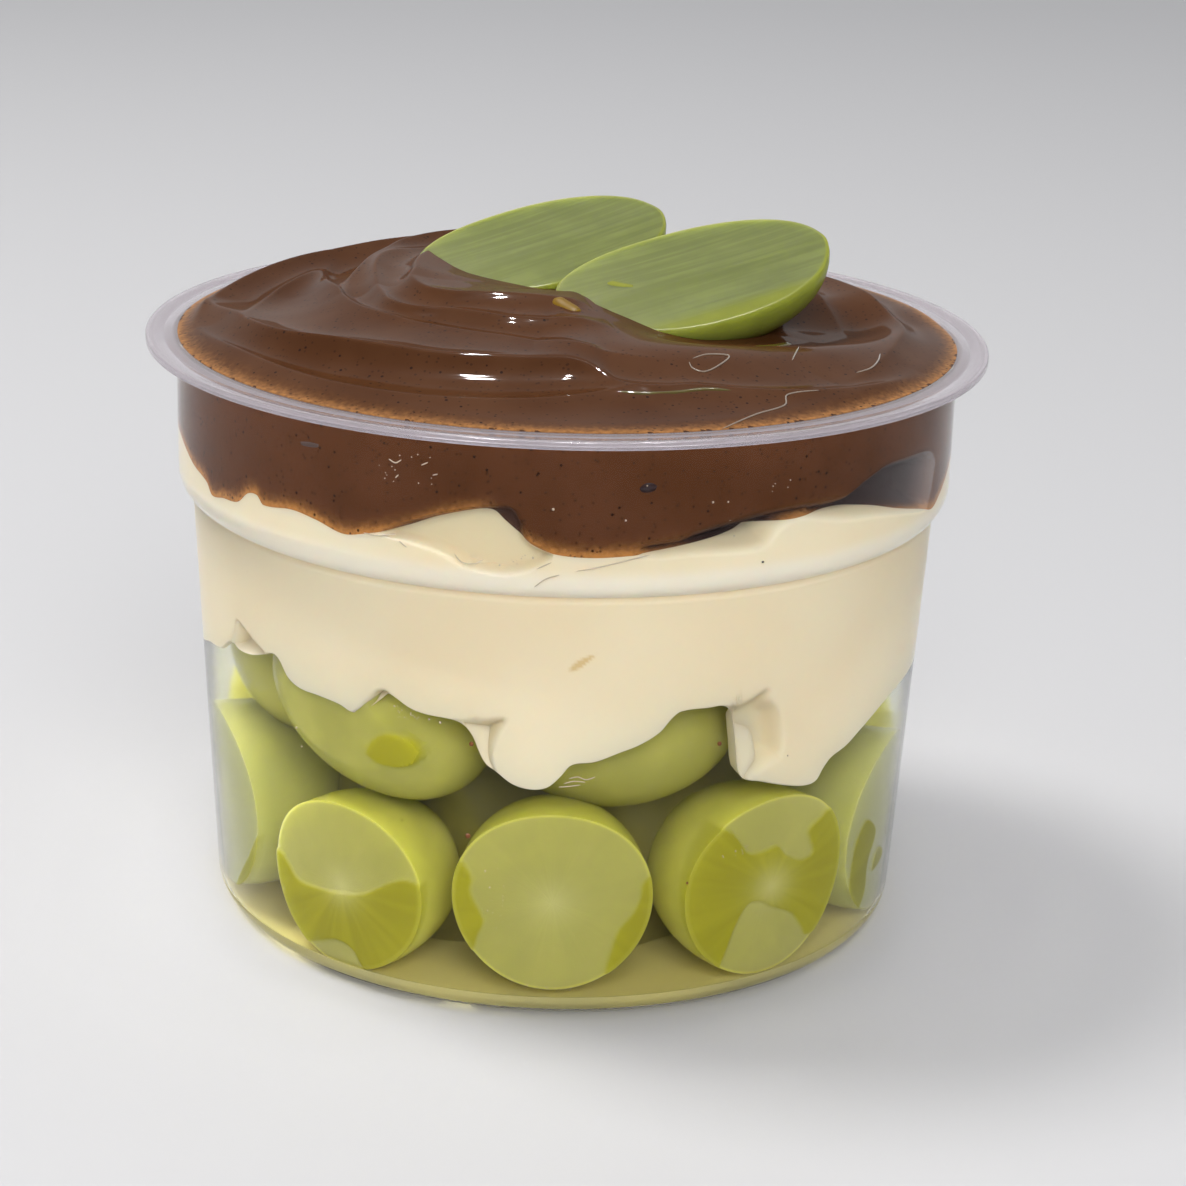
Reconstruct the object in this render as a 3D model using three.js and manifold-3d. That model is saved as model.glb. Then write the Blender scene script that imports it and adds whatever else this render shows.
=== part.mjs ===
// Grape cream dessert cup: a clear flanged cup that holds cut green grapes under white cream,
// with a swirled chocolate layer on top and two grape halves stuck in it.
// Millimetres, +Z up. The origin is at the middle of the base, on the surface that the cup stands on.
// Angles are in degrees round the cup: 0 is the front, -Y, and 90 is the right side, +X.

import * as THREE from "three";
import { mergeVertices } from "three/addons/utils/BufferGeometryUtils.js";
import Module from "manifold-3d";

const wasm = await Module();
wasm.setup();

// Clear cup
const SHEET = 0.5;
const FLANGE_RADIUS = 47.5;
const FLANGE_TOP = 66.8;
const LIP_DEPTH = 0.85;
const LIP_WIDTH = 0.6;
const RING_LINE_RADIUS = 45.5;
const RING_LINE_DEPTH = 0.2;
const BRINK_BEVEL = 0.3;
const COLLAR_RADIUS = 44.1;
const COLLAR_FOOT = 51.8;
const CREASE_RADIUS = 42.1;
const CREASE_HEIGHT = 48.9;
const SHOULDER_RADIUS = 42.45;
const SHOULDER_HEIGHT = 48.1;
const BASE_RADIUS = 40.05;
const BASE_FILLET = 3.0;
const FOOT_INNER_RADIUS = 33.4;
const FOOT_HEIGHT = 0.8;
const CUP_SIDES = 48;

// Clearances between touching pieces
const GAP = 0.3;
const SEAM_GAP = 0.22;

const INNER_RADIUS = COLLAR_RADIUS - SHEET;
const LAYER_RADIUS = INNER_RADIUS - GAP;

// Chocolate layer
const CHOCOLATE_EDGE = 66.9;
const CALM_RIM = 2.2;
const CALM_MIDDLE = 6;
const CREST_ROUND = 0.3;
const SEAM_LEVEL = 56;
const SEAM_INNER_RADIUS = 35.5;
const SEAM_SETTLE = 0.7;
const SIDE_ROWS_DOWN = [0.45, 0.75];

// The dome that carries the swirl: radius and height
const DOME = [
  [0, 72.5], [10, 72.1], [15, 71.4], [21, 70.3], [26, 69.4], [31, 68.1], [36, 67.4], [40, 67.1],
  [42.5, 67.0], [43.6, 66.9], [45, 66.5],
];

// Ridges of the swirl. Each crest runs clockwise and outward: angle, radius and rise over the dome.
// The steep width is that of its outer side, the gentle one that of its inner side.
const SWIRL = [
  {
    steep: 2.2,
    gentle: 1.8,
    crest: [
      [66, 42.8, 0], [53, 41.4, 0.6], [42, 39.7, 0.9], [31, 37.2, 1], [22, 35, 1], [12, 34.6, 0.9],
      [4, 35.2, 0.9], [-7, 37.3, 1.1], [-20, 39.2, 1.2], [-34, 39.9, 1.2], [-60, 40.4, 1.1],
      [-80, 41.8, 0.4], [-92, 43, 0],
    ],
  },
  {
    steep: 1.4,
    gentle: 6,
    crest: [
      [18, 36.5, 0], [9, 33, 0.8], [5, 30.8, 1.7], [-1, 29.6, 2.2], [-14, 30.2, 2.6], [-25, 31.3, 2.8],
      [-36, 32.6, 3.2], [-46, 34.5, 3.5], [-58, 36.4, 3.1], [-70, 37.2, 2.7], [-79, 37.8, 2.2],
      [-86, 39.2, 1.5], [-91, 40.6, 0.8], [-96, 42.4, 0],
    ],
  },
  {
    steep: 2,
    gentle: 3.4,
    crest: [
      [-80, 42.6, 0], [-88, 41.8, 0.6], [-98, 40.6, 1.6], [-113, 38.4, 2.6], [-126, 36.8, 3],
      [-140, 34.8, 3.3], [-156, 33.4, 2.8], [-176, 34.6, 1.6], [-196, 37, 0],
    ],
  },
  {
    steep: 1.3,
    gentle: 1.3,
    crest: [
      [-72, 36.8, 0], [-80, 35.9, 0.5], [-88, 34.9, 0.9], [-97, 34, 1.2], [-106, 33, 1.2],
      [-113, 32.7, 0.8], [-120, 33, 0],
    ],
  },
  {
    steep: 3,
    gentle: 0.8,
    crest: [
      [22, 29.4, 0], [7, 27.1, 0.4], [-2, 25.2, 0.5], [-17, 23.4, 0.6], [-38, 23.1, 0.6],
      [-49, 23.9, 0.7], [-62, 24.7, 0.9], [-78, 25.5, 1.2], [-88, 26.2, 1.4], [-96, 27.5, 1.5],
      [-107, 29.7, 1.3], [-117, 32.6, 0.7], [-128, 35.4, 0],
    ],
  },
  {
    steep: 1.6,
    gentle: 5,
    crest: [
      [-82, 24.4, 0], [-92, 25, 0.8], [-101, 25.4, 1.4], [-112, 25.8, 2], [-127, 27.6, 2.6],
      [-138, 29.9, 2.9], [-160, 31.5, 2.4], [-190, 34.5, 1.9], [-220, 36.6, 1.9], [-248, 36.9, 2.1],
      [-262, 37.6, 2], [-275, 37.8, 1.8], [-286, 37.6, 1.4], [-300, 38.2, 1], [-312, 38.6, 0],
    ],
  },
  {
    steep: 1.2,
    gentle: 1.8,
    crest: [
      [16, 17.4, 0], [4, 17.4, 0.6], [-8, 18.2, 1.1], [-20, 19, 1.3], [-30, 19, 1.4], [-42, 19.8, 1.5],
      [-50, 21.6, 1.7], [-60, 22.3, 1.8], [-74, 21.8, 1.7], [-92, 22, 1.6], [-106, 23.2, 1.5],
      [-120, 24.8, 1.1], [-134, 26, 0.5], [-150, 27.5, 0],
    ],
  },
  {
    steep: 1.4,
    gentle: 5,
    crest: [
      [14, 9.6, 0], [2, 10.4, 0.6], [-14, 11, 1], [-28, 11.9, 1.2], [-42, 13.6, 1.4], [-54, 15.8, 1.6],
      [-66, 17.4, 1.8], [-80, 17.9, 2], [-96, 17.5, 2], [-119, 19.4, 1.9], [-140, 22, 1.6],
      [-170, 25, 1.4], [-205, 27.5, 1.4], [-240, 29.5, 1.3], [-262, 31, 0.7], [-280, 32, 0],
    ],
  },
  {
    steep: 1.4,
    gentle: 5,
    crest: [
      [-150, 14, 0], [-170, 15, 0.7], [-200, 16.5, 1], [-230, 19.5, 1], [-262, 23, 0.5], [-280, 25, 0],
    ],
  },
  {
    steep: 4,
    gentle: 8,
    round: 3,
    crest: [
      [104, 32, 0], [80, 32, 1], [60, 31, 1.5], [40, 30, 1.8], [20, 28.4, 1.8], [8, 26, 1.3],
      [-8, 24, 0],
    ],
  },
];

// Height of the line on the wall where chocolate meets cream: angle and height
const SEAM = [
  [-104, 55.5], [-82, 56.4], [-75, 56.1], [-67, 54.6], [-61.5, 53.8], [-59.7, 52.7], [-56, 53.1],
  [-52, 53.5], [-49.5, 54.9], [-47.3, 55.1], [-46, 54.3], [-40, 54.8], [-35.5, 54.4], [-31, 53.6],
  [-27.5, 54.1], [-22, 55.0], [-17, 56.4], [-12, 57.5], [-9.4, 57.2], [-8, 55.6], [-5.6, 54.7],
  [-2, 54.0], [3.5, 53.7], [11, 54.0], [18.7, 54.6], [25, 55.1], [32, 55.5], [37, 55.3], [43, 55.9],
  [50, 55.2], [56, 54.0], [63, 52.7], [67, 52.0], [71, 52.9], [77, 54.5], [88, 56.0], [104, 55.0],
  [130, 57.2], [152, 54.4], [176, 56.6], [200, 54.6], [226, 57.0],
];

// Air pocket between the chocolate and the wall: its angle, half width, top and depth, how steeply it
// closes at its sides and over how much height at its top
const POCKET = { at: 54, half: 12, top: 60.4, deep: 3.2, steep: 1.6, close: 1.6 };

// Height of the cream's lower edge on the wall: angle and height
const HEM = [
  [-102, 32.0], [-83, 30.6], [-72, 32.6], [-65, 33.6], [-61, 35.3], [-58.6, 35.0], [-54.6, 35.3],
  [-50.6, 36.2], [-48, 36.8], [-46.4, 36.4], [-44.6, 34.8], [-42, 34.0], [-38, 33.9], [-34, 33.6],
  [-31.8, 33.1], [-30, 33.6], [-28.6, 34.3], [-26.8, 35.4], [-25.6, 36.2], [-24.6, 36.0],
  [-22, 35.0], [-19.6, 34.6], [-15.4, 34.4], [-13.6, 33.9], [-12.3, 32.7], [-11.4, 31.1],
  [-10.4, 29.8], [-9, 29.1], [-6.4, 27.7], [-3.7, 27.2], [-1.2, 27.5], [0.6, 28.7], [2.2, 30.1],
  [5.7, 30.5], [9.3, 31.5], [12.2, 32.3], [15.1, 33.6], [16.8, 35.1], [18.2, 35.8], [23.5, 35.8],
  [26.4, 35.9], [27.2, 34.4], [27.7, 31.0], [27.9, 28.0], [29.0, 27.1], [32.3, 26.3], [37.2, 25.1],
  [41.7, 24.3], [43.9, 24.5], [45.1, 25.6], [46.8, 26.6], [50.5, 27.3], [54.4, 28.5], [60.6, 30.0],
  [67, 30.8], [83, 31.1], [96, 32.2],
];

// Drips round the back: where they start and end, how many there are, their middle height and swing
const BACK_HEM = { start: 96, end: 258, waves: 8.5, level: 31.8, swing: 3.2, drift: 9, merge: 12 };
const LIP_THICKNESS = 7.5;
const LIP_TUCK = 0.75;
const CREAM_FLOOR = 35.0;
const BAND_BEND = 0.25;

// Grape halves that stand on the floor with their cut faces to the wall
const FLOOR_HALVES = [
  { at: 0, across: 21.0, height: 13.8, lean: 8 },
  { at: 36.4, across: 21.3, height: 13.1, lean: 8 },
  { at: 70, across: 21.2, height: 13.4, lean: 6 },
  { at: 106, across: 20.6, height: 13.0, lean: 9 },
  { at: 142, across: 21.4, height: 13.6, lean: 7 },
  { at: 178, across: 20.8, height: 13.2, lean: 8 },
  { at: 214, across: 21.2, height: 13.5, lean: 10 },
  { at: 250, across: 20.4, height: 13.0, lean: 7 },
  { at: 289, across: 21.4, height: 14.3, lean: 7 },
  { at: 325, across: 19.8, height: 11.9, lean: 8 },
];
const HALF_DEPTH = 14.0;
const OUTWARD_STEP = 0.05;
const HALF_SIDES = 16;
const HALF_ROWS = 3;

// Whole grapes of the upper row: place, half length, half width, dip of the long axis and its turn
const UPPER_GRAPES = [
  { at: -36, out: 30.6, height: 32.0, half: 14.0, wide: 10.0, dip: 24, turn: 0 },
  { at: 14, out: 28.6, height: 31.2, half: 13.4, wide: 10.2, dip: -4, turn: 6 },
  { at: 66, out: 29.0, height: 31.0, half: 13.2, wide: 10.0, dip: 12, turn: -8 },
  { at: 104, out: 29.4, height: 31.6, half: 13.0, wide: 10.0, dip: -14, turn: 10 },
  { at: 143, out: 29.0, height: 31.2, half: 13.6, wide: 10.2, dip: 10, turn: -6 },
  { at: 181, out: 29.2, height: 31.8, half: 13.2, wide: 10.0, dip: -8, turn: 8 },
  { at: 219, out: 29.0, height: 31.0, half: 13.4, wide: 10.0, dip: 14, turn: -4 },
  { at: 252, out: 29.2, height: 31.6, half: 12.6, wide: 10.0, dip: -12, turn: 6 },
  { at: 286, out: 28.8, height: 32.4, half: 12.6, wide: 10.0, dip: 30, turn: 0 },
];

// Grape halves on top, cut lengthwise: middle of the cut face, turn of the long axis, rise and roll
const TOP_LEFT = {
  middle: [-3.3, 12.5, 74.6], turn: 35.2, rise: 10.3, roll: 5.2, half: 15.8, wide: 10.3, deep: 9.4,
  sink: 1.2,
};
const TOP_RIGHT = {
  middle: [13.8, -1.3, 74.8], turn: 24.5, rise: 11.6, roll: 6.8, half: 16.2, wide: 10.4, deep: 9.6,
  sink: 2.6,
};
// The face's slope starts at this share of its half width and steepens by this power; the face has one
// ring of points between its middle and its edge, at this share
const SINK_START = 0.2;
const SINK_POWER = 1.3;
const SINK_RING = 0.6;
const TOP_SIDES = 26;
const TOP_ROWS = 6;
const SOCKET_ROWS = 5;
const SOCKET_LIFT = 2.5;

// Dips in the chocolate on the near side of each half: how deep, and how far each reaches out from the
// half, as a share of the half's width. The margin in millimetres keeps the bottom of a dip level.
const DIPS = [{ piece: TOP_LEFT, deep: 1.6, reach: 0.4 }, { piece: TOP_RIGHT, deep: 2.6, reach: 0.5 }];
const DIP_MARGIN = 1;

// Core that the grapes lie round, out of sight behind them: radius and height from its foot to its top
const CORE = [[29, 0], [31, 6.4], [29, 22.4], [24, 31.4], [0, 35.4]];
const CORE_SIDES = 20;

// Radii of the rings of points on the swirl, and how far each may move to meet a crest
const INNER_RINGS = [3, 6.5, 10, 13.5, 17, 20.4];
const INNER_REACH = 1.75;
const OUTER_RINGS = [22.8, 24.9, 27, 29.1, 31.2, 33.3, 35.4, 37.5, 39.6, 41.7];
const OUTER_REACH = 1.05;

// Angles of the points round the layers, closer together at the front where the drips are
const FRONT = { from: -72, to: 72, steps: 48 };
const BACK = { from: 72, to: 288, steps: 40 };

const radians = (degrees) => (degrees * Math.PI) / 180;
const lerp = (a, b, t) => a + (b - a) * t;
const clamp = (x) => Math.min(1, Math.max(0, x));
const smooth = (t) => clamp(t) ** 2 * (3 - 2 * clamp(t));

// A point of the cup at an angle, a radius and a height
function spot(angle, radius, height) {
  return [radius * Math.sin(radians(angle)), -radius * Math.cos(radians(angle)), height];
}

// The difference of two angles, from -180 to 180
function between(angle, other) {
  return ((((angle - other + 180) % 360) + 360) % 360) - 180;
}

// A smooth curve through points of rising x, with the slope at each point set by its neighbours
function curveThrough(points, x) {
  const last = points.length - 1;
  if (x <= points[0][0]) return points[0][1];
  if (x >= points[last][0]) return points[last][1];
  const k = points.findIndex((p, i) => x < points[i + 1][0]);
  const [x0, y0] = points[k];
  const [x1, y1] = points[k + 1];
  const slope = (i) => {
    const a = points[Math.max(i - 1, 0)];
    const b = points[Math.min(i + 1, last)];
    return (b[1] - a[1]) / (b[0] - a[0]);
  };
  const span = x1 - x0;
  const t = (x - x0) / span;
  const rise = (2 * t ** 3 - 3 * t ** 2 + 1) * y0 + (3 * t ** 2 - 2 * t ** 3) * y1;
  return rise + (t ** 3 - 2 * t ** 2 + t) * span * slope(k) + (t ** 3 - t ** 2) * span * slope(k + 1);
}

// The same curve carried round the cup, so that it closes on itself
function curveRound(points, angle) {
  const first = points[0][0];
  const wrapped = first + ((((angle - first) % 360) + 360) % 360);
  const closed = [
    [points[points.length - 1][0] - 360, points[points.length - 1][1]],
    ...points,
    [first + 360, points[0][1]],
    [points[1][0] + 360, points[1][1]],
  ];
  return curveThrough(closed, wrapped);
}

// Radius of the cup's inner face at a height
function insideRadius(height) {
  const base = BASE_RADIUS - SHEET;
  if (height >= COLLAR_FOOT) return INNER_RADIUS;
  if (height >= CREASE_HEIGHT) {
    const t = (height - CREASE_HEIGHT) / (COLLAR_FOOT - CREASE_HEIGHT);
    return CREASE_RADIUS - SHEET + (COLLAR_RADIUS - CREASE_RADIUS) * Math.sqrt(1 - (1 - t) ** 2);
  }
  if (height >= SHOULDER_HEIGHT) {
    const t = (height - SHOULDER_HEIGHT) / (CREASE_HEIGHT - SHOULDER_HEIGHT);
    return lerp(SHOULDER_RADIUS, CREASE_RADIUS, t) - SHEET;
  }
  if (height >= BASE_FILLET) {
    const t = (height - BASE_FILLET) / (SHOULDER_HEIGHT - BASE_FILLET);
    return lerp(base, SHOULDER_RADIUS - SHEET, t);
  }
  const fillet = BASE_FILLET - SHEET;
  const drop = BASE_FILLET - Math.max(height, SHEET);
  return base - fillet + Math.sqrt(Math.max(0, fillet ** 2 - drop ** 2));
}

// Where a ridge passes at an angle, on any of its turns: the radius of its crest and its rise
function crestsAt(ridge, angle) {
  const path = ridge.crest.map(([a, radius]) => [-a, radius]);
  const rises = ridge.crest.map(([a, , rise]) => [-a, rise]);
  const first = path[0][0];
  const last = path[path.length - 1][0];
  return [-360, 0, 360].map((turn) => turn - angle)
    .filter((along) => along > first && along < last)
    .map((along) => {
      return { radius: curveThrough(path, along), rise: Math.max(0, curveThrough(rises, along)) };
    });
}

// How far the chocolate dips beside a cut half that was pressed into it, on the half's near side
function dipDepth({ piece, deep, reach }, [x, y]) {
  const turn = radians(piece.turn);
  const [across, away] = [x - piece.middle[0], y - piece.middle[1]];
  const along = (across * Math.cos(turn) + away * Math.sin(turn)) / (piece.half + DIP_MARGIN);
  const aside = (away * Math.cos(turn) - across * Math.sin(turn)) / (piece.wide + DIP_MARGIN);
  const outside = Math.max(0, Math.hypot(along, aside) - 1);
  return deep * Math.exp(-((outside / reach) ** 2)) * smooth(0.5 - 1.2 * aside) * smooth(1.1 + along);
}

// Height of the chocolate's top: a dome that carries the swirl's ridges
function swirlHeight(radius, angle) {
  let height = curveThrough(DOME, radius);
  for (const dip of DIPS) height -= dipDepth(dip, spot(angle, radius, 0));
  const free = smooth((INNER_RADIUS - radius) / CALM_RIM) * smooth(radius / CALM_MIDDLE);
  for (const ridge of SWIRL) {
    const round = ridge.round ?? CREST_ROUND;
    for (const crest of crestsAt(ridge, angle)) {
      const inward = crest.radius - radius;
      const width = inward < 0 ? ridge.steep : ridge.gentle;
      height += crest.rise * free * Math.exp((round - Math.hypot(inward, round)) / width);
    }
  }
  return height;
}

// Radius of a ring of points at an angle: its own, or that of the nearest crest within its reach, so
// that a crest never falls between two rings
function ringRadius({ own, reach }, angle) {
  const near = SWIRL.flatMap((ridge) => crestsAt(ridge, angle))
    .map((crest) => crest.radius)
    .sort((a, b) => Math.abs(a - own) - Math.abs(b - own));
  return Math.abs(near[0] - own) < reach ? near[0] : own;
}

// Height of the face between chocolate and cream: it leaves the wall at the seam and levels out inside
function seamHeight(radius, angle) {
  const wall = curveRound(SEAM, angle);
  const t = clamp((LAYER_RADIUS - radius) / (LAYER_RADIUS - SEAM_INNER_RADIUS));
  return lerp(wall, lerp(wall, SEAM_LEVEL, SEAM_SETTLE), t);
}

// How far the chocolate stands back from the wall in its air pocket
function pocketDepth(angle, height) {
  const across = 1 - (between(angle, POCKET.at) / POCKET.half) ** 2;
  const up = (POCKET.top - height) / POCKET.close;
  return POCKET.deep * smooth(across * POCKET.steep) * smooth(up);
}

// Height of the cream's lower edge on the wall
function hemHeight(angle) {
  const { start, end, waves, level, swing, drift, merge } = BACK_HEM;
  const share = ((((angle % 360) + 360) % 360) - start) / (end - start);
  const wave = level + swing * Math.sin(2 * Math.PI * waves * share + Math.sin(drift * share));
  const atBack = smooth(share * merge) * smooth((1 - share) * merge);
  return lerp(curveRound(HEM, angle), wave, atBack);
}

// A closed geometry from positions and triangles
function geometryOf(points, faces) {
  const geometry = new THREE.BufferGeometry();
  geometry.setAttribute("position", new THREE.Float32BufferAttribute(points.flat(), 3));
  geometry.setIndex(faces.flat());
  return geometry;
}

// A solid from rings of points, closed by a middle point at each end. The rings run from the top middle
// out, down and back in to the bottom middle. A ring may have twice the points of the ring before it.
// Each square is split along its higher corners, so that a ridge stays whole where it crosses a ring.
function ringSolid(top, rings, bottom) {
  const points = [top];
  const faces = [];
  let start = 1;
  rings.forEach((ring, row) => {
    const n = ring.length;
    points.push(...ring);
    const before = row ? rings[row - 1].length : 0;
    const above = start - before;
    for (let i = 0; i < Math.max(n, before); i += 1) {
      const j = (i + 1) % n;
      if (!row) {
        faces.push([0, start + i, start + j]);
      } else if (n === before) {
        const quad = [above + i, start + i, start + j, above + j];
        const [a, b, c, d] = quad.map((corner) => points[corner][2]);
        const [p, q, r, t] = a + c < b + d ? [1, 2, 3, 0].map((turn) => quad[turn]) : quad;
        faces.push([p, q, r], [p, r, t]);
      } else if (n > before && i < before) {
        const k = (i + 1) % before;
        const m = 2 * i;
        faces.push([above + i, start + m, start + m + 1], [above + i, start + m + 1, above + k]);
        faces.push([above + k, start + m + 1, start + ((m + 2) % n)]);
      }
    }
    start += n;
  });
  const last = rings[rings.length - 1].length;
  points.push(bottom);
  for (let i = 0; i < last; i += 1) {
    faces.push([start, start - last + ((i + 1) % last), start - last + i]);
  }
  return geometryOf(points, faces);
}

function ringOf(sides, pointAt) {
  return Array.from({ length: sides }, (_, i) => pointAt((360 * i) / sides));
}

const layerAngles = [FRONT, BACK].flatMap(({ from, to, steps }) => {
  return Array.from({ length: steps }, (_, i) => lerp(from, to, i / steps));
});

function layerRing(pointAt) {
  return layerAngles.map(pointAt);
}

function coarseLayerRing(pointAt) {
  return layerAngles.filter((_, i) => i % 2 === 0).map(pointAt);
}

function toSolid(geometry) {
  const bare = geometry.clone();
  bare.deleteAttribute("normal");
  bare.deleteAttribute("uv");
  const merged = mergeVertices(bare, 1e-4);
  return new wasm.Manifold(new wasm.Mesh({
    numProp: 3,
    vertProperties: new Float32Array(merged.attributes.position.array),
    triVerts: new Uint32Array(merged.index.array),
  }));
}

function toGeometry(solid) {
  const { vertProperties, triVerts } = solid.getMesh();
  const geometry = new THREE.BufferGeometry();
  geometry.setAttribute("position", new THREE.BufferAttribute(new Float32Array(vertProperties), 3));
  geometry.setIndex(new THREE.BufferAttribute(new Uint32Array(triVerts), 1));
  return geometry;
}

// Points of an arc of an ellipse, by its middle, half axes and angles in degrees
function arc(middle, across, up, from, to, steps) {
  return Array.from({ length: steps + 1 }, (_, i) => {
    const a = radians(lerp(from, to, i / steps));
    return [middle[0] + across * Math.cos(a), middle[1] + up * Math.sin(a)];
  });
}

// The clear cup: one wall from the foot ring up over the flange and down inside to the floor
function cupGeometry() {
  const collarRise = COLLAR_FOOT - CREASE_HEIGHT;
  const collarBulge = COLLAR_RADIUS - CREASE_RADIUS;
  const under = FLANGE_TOP - SHEET;
  const lip = FLANGE_RADIUS - LIP_WIDTH;
  const fillet = BASE_RADIUS - BASE_FILLET;
  const profile = [
    [0, FOOT_HEIGHT],
    [FOOT_INNER_RADIUS - FOOT_HEIGHT, FOOT_HEIGHT],
    [FOOT_INNER_RADIUS, 0],
    ...arc([fillet, BASE_FILLET], BASE_FILLET, BASE_FILLET, -90, 0, 3),
    [SHOULDER_RADIUS, SHOULDER_HEIGHT],
    ...arc([CREASE_RADIUS, COLLAR_FOOT], collarBulge, collarRise, -90, 0, 3),
    [COLLAR_RADIUS, under],
    [lip, under],
    [lip, FLANGE_TOP - LIP_DEPTH],
    [FLANGE_RADIUS, FLANGE_TOP - LIP_DEPTH],
    [FLANGE_RADIUS, FLANGE_TOP - BRINK_BEVEL],
    [FLANGE_RADIUS - BRINK_BEVEL, FLANGE_TOP],
    [RING_LINE_RADIUS + RING_LINE_DEPTH, FLANGE_TOP],
    [RING_LINE_RADIUS, FLANGE_TOP - RING_LINE_DEPTH],
    [RING_LINE_RADIUS - RING_LINE_DEPTH, FLANGE_TOP],
    [INNER_RADIUS + BRINK_BEVEL, FLANGE_TOP],
    [INNER_RADIUS, FLANGE_TOP - BRINK_BEVEL],
    ...arc([CREASE_RADIUS - SHEET, COLLAR_FOOT], collarBulge, collarRise, 0, -90, 3),
    [SHOULDER_RADIUS - SHEET, SHOULDER_HEIGHT],
    ...arc([fillet, BASE_FILLET], BASE_FILLET - SHEET, BASE_FILLET - SHEET, 0, -90, 2),
    [FOOT_INNER_RADIUS + SHEET / 2, SHEET],
    [FOOT_INNER_RADIUS - FOOT_HEIGHT + SHEET / 2, FOOT_HEIGHT + SHEET],
    [0, FOOT_HEIGHT + SHEET],
  ];
  const lathe = new THREE.LatheGeometry(profile.map(([x, y]) => new THREE.Vector2(x, y)), CUP_SIDES);
  lathe.rotateX(Math.PI / 2);
  return toGeometry(toSolid(lathe));
}

// A half grape: a flat cut face at z = 0 that looks up, and the rounded body below it. With a sink, the
// face slopes down towards its near edge, by so much at the edge.
function halfGrape(half, wide, deep, sides, rows, sink = 0) {
  const place = (t, share, z) => {
    const y = share * Math.sin(radians(t));
    const near = clamp((-y - SINK_START) / (1 - SINK_START));
    const drop = sink * near ** SINK_POWER * (1 + z / deep);
    return [half * share * Math.cos(radians(t)), wide * y, z - drop];
  };
  const rings = sink ? [ringOf(sides, (t) => place(t, SINK_RING, 0))] : [];
  for (let row = 0; row < rows; row += 1) {
    const a = (Math.PI / 2) * (row / rows);
    rings.push(ringOf(sides, (t) => place(t, Math.cos(a), -deep * Math.sin(a))));
  }
  return ringSolid([0, 0, 0], rings, [0, 0, -deep]);
}

// A whole grape with its long axis along x
function wholeGrape(half, wide, sides, rows) {
  const sphere = new THREE.SphereGeometry(1, sides, rows);
  sphere.rotateZ(Math.PI / 2);
  sphere.scale(half, wide, wide);
  return sphere;
}

// The frame of a cut half on top: long axis, cross axis and the direction that the cut face looks
function topFrame({ middle, turn, rise, roll }) {
  const matrix = new THREE.Matrix4().makeRotationZ(radians(turn));
  matrix.multiply(new THREE.Matrix4().makeRotationY(-radians(rise)));
  matrix.multiply(new THREE.Matrix4().makeRotationX(radians(roll)));
  matrix.setPosition(...middle);
  return matrix;
}

function topGrape(piece, grow, sides, rows) {
  const [half, wide, deep] = [piece.half + grow, piece.wide + grow, piece.deep + grow];
  return halfGrape(half, wide, deep, sides, rows, piece.sink).applyMatrix4(topFrame(piece));
}

// A half in the lower row: its cut face stands as far out as its edge can, a gap off the wall
function floorHalf({ at, across, height, lean }, grow) {
  const radius = across / 2;
  const tilt = radians(lean);
  let out = BASE_RADIUS;
  const clear = () => ringOf(HALF_SIDES, (t) => t).every((t) => {
    const side = radius * Math.cos(radians(t));
    const up = radius * Math.sin(radians(t));
    const x = out - up * Math.sin(tilt);
    return Math.hypot(x, side) < insideRadius(height + up * Math.cos(tilt)) - GAP;
  });
  while (!clear()) out -= OUTWARD_STEP;
  const geometry = halfGrape(radius + grow, radius + grow, HALF_DEPTH + grow, HALF_SIDES, HALF_ROWS);
  geometry.translate(0, 0, grow);
  geometry.rotateY(Math.PI / 2 - tilt);
  geometry.rotateZ(radians(at - 90));
  return geometry.translate(...spot(at, out, height));
}

function upperGrape({ at, out, height, half, wide, dip, turn }, grow) {
  const geometry = wholeGrape(half + grow, wide + grow, 12, 7);
  geometry.rotateY(radians(dip));
  geometry.rotateZ(radians(at + turn));
  return geometry.translate(...spot(at, out, height));
}

function coreGeometry(grow) {
  const floor = FOOT_HEIGHT + SHEET + GAP;
  const profile = [[0, 0], ...CORE].map(([x, y]) => new THREE.Vector2(x && x + grow, floor + y + grow));
  return new THREE.LatheGeometry(profile, CORE_SIDES).rotateX(Math.PI / 2);
}

function grapeHeap(grow) {
  const pieces = [
    ...FLOOR_HALVES.map((piece) => floorHalf(piece, grow)),
    ...UPPER_GRAPES.map((piece) => upperGrape(piece, grow)),
  ];
  return pieces.reduce((heap, piece) => heap.add(toSolid(piece)), toSolid(coreGeometry(grow)));
}

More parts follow.
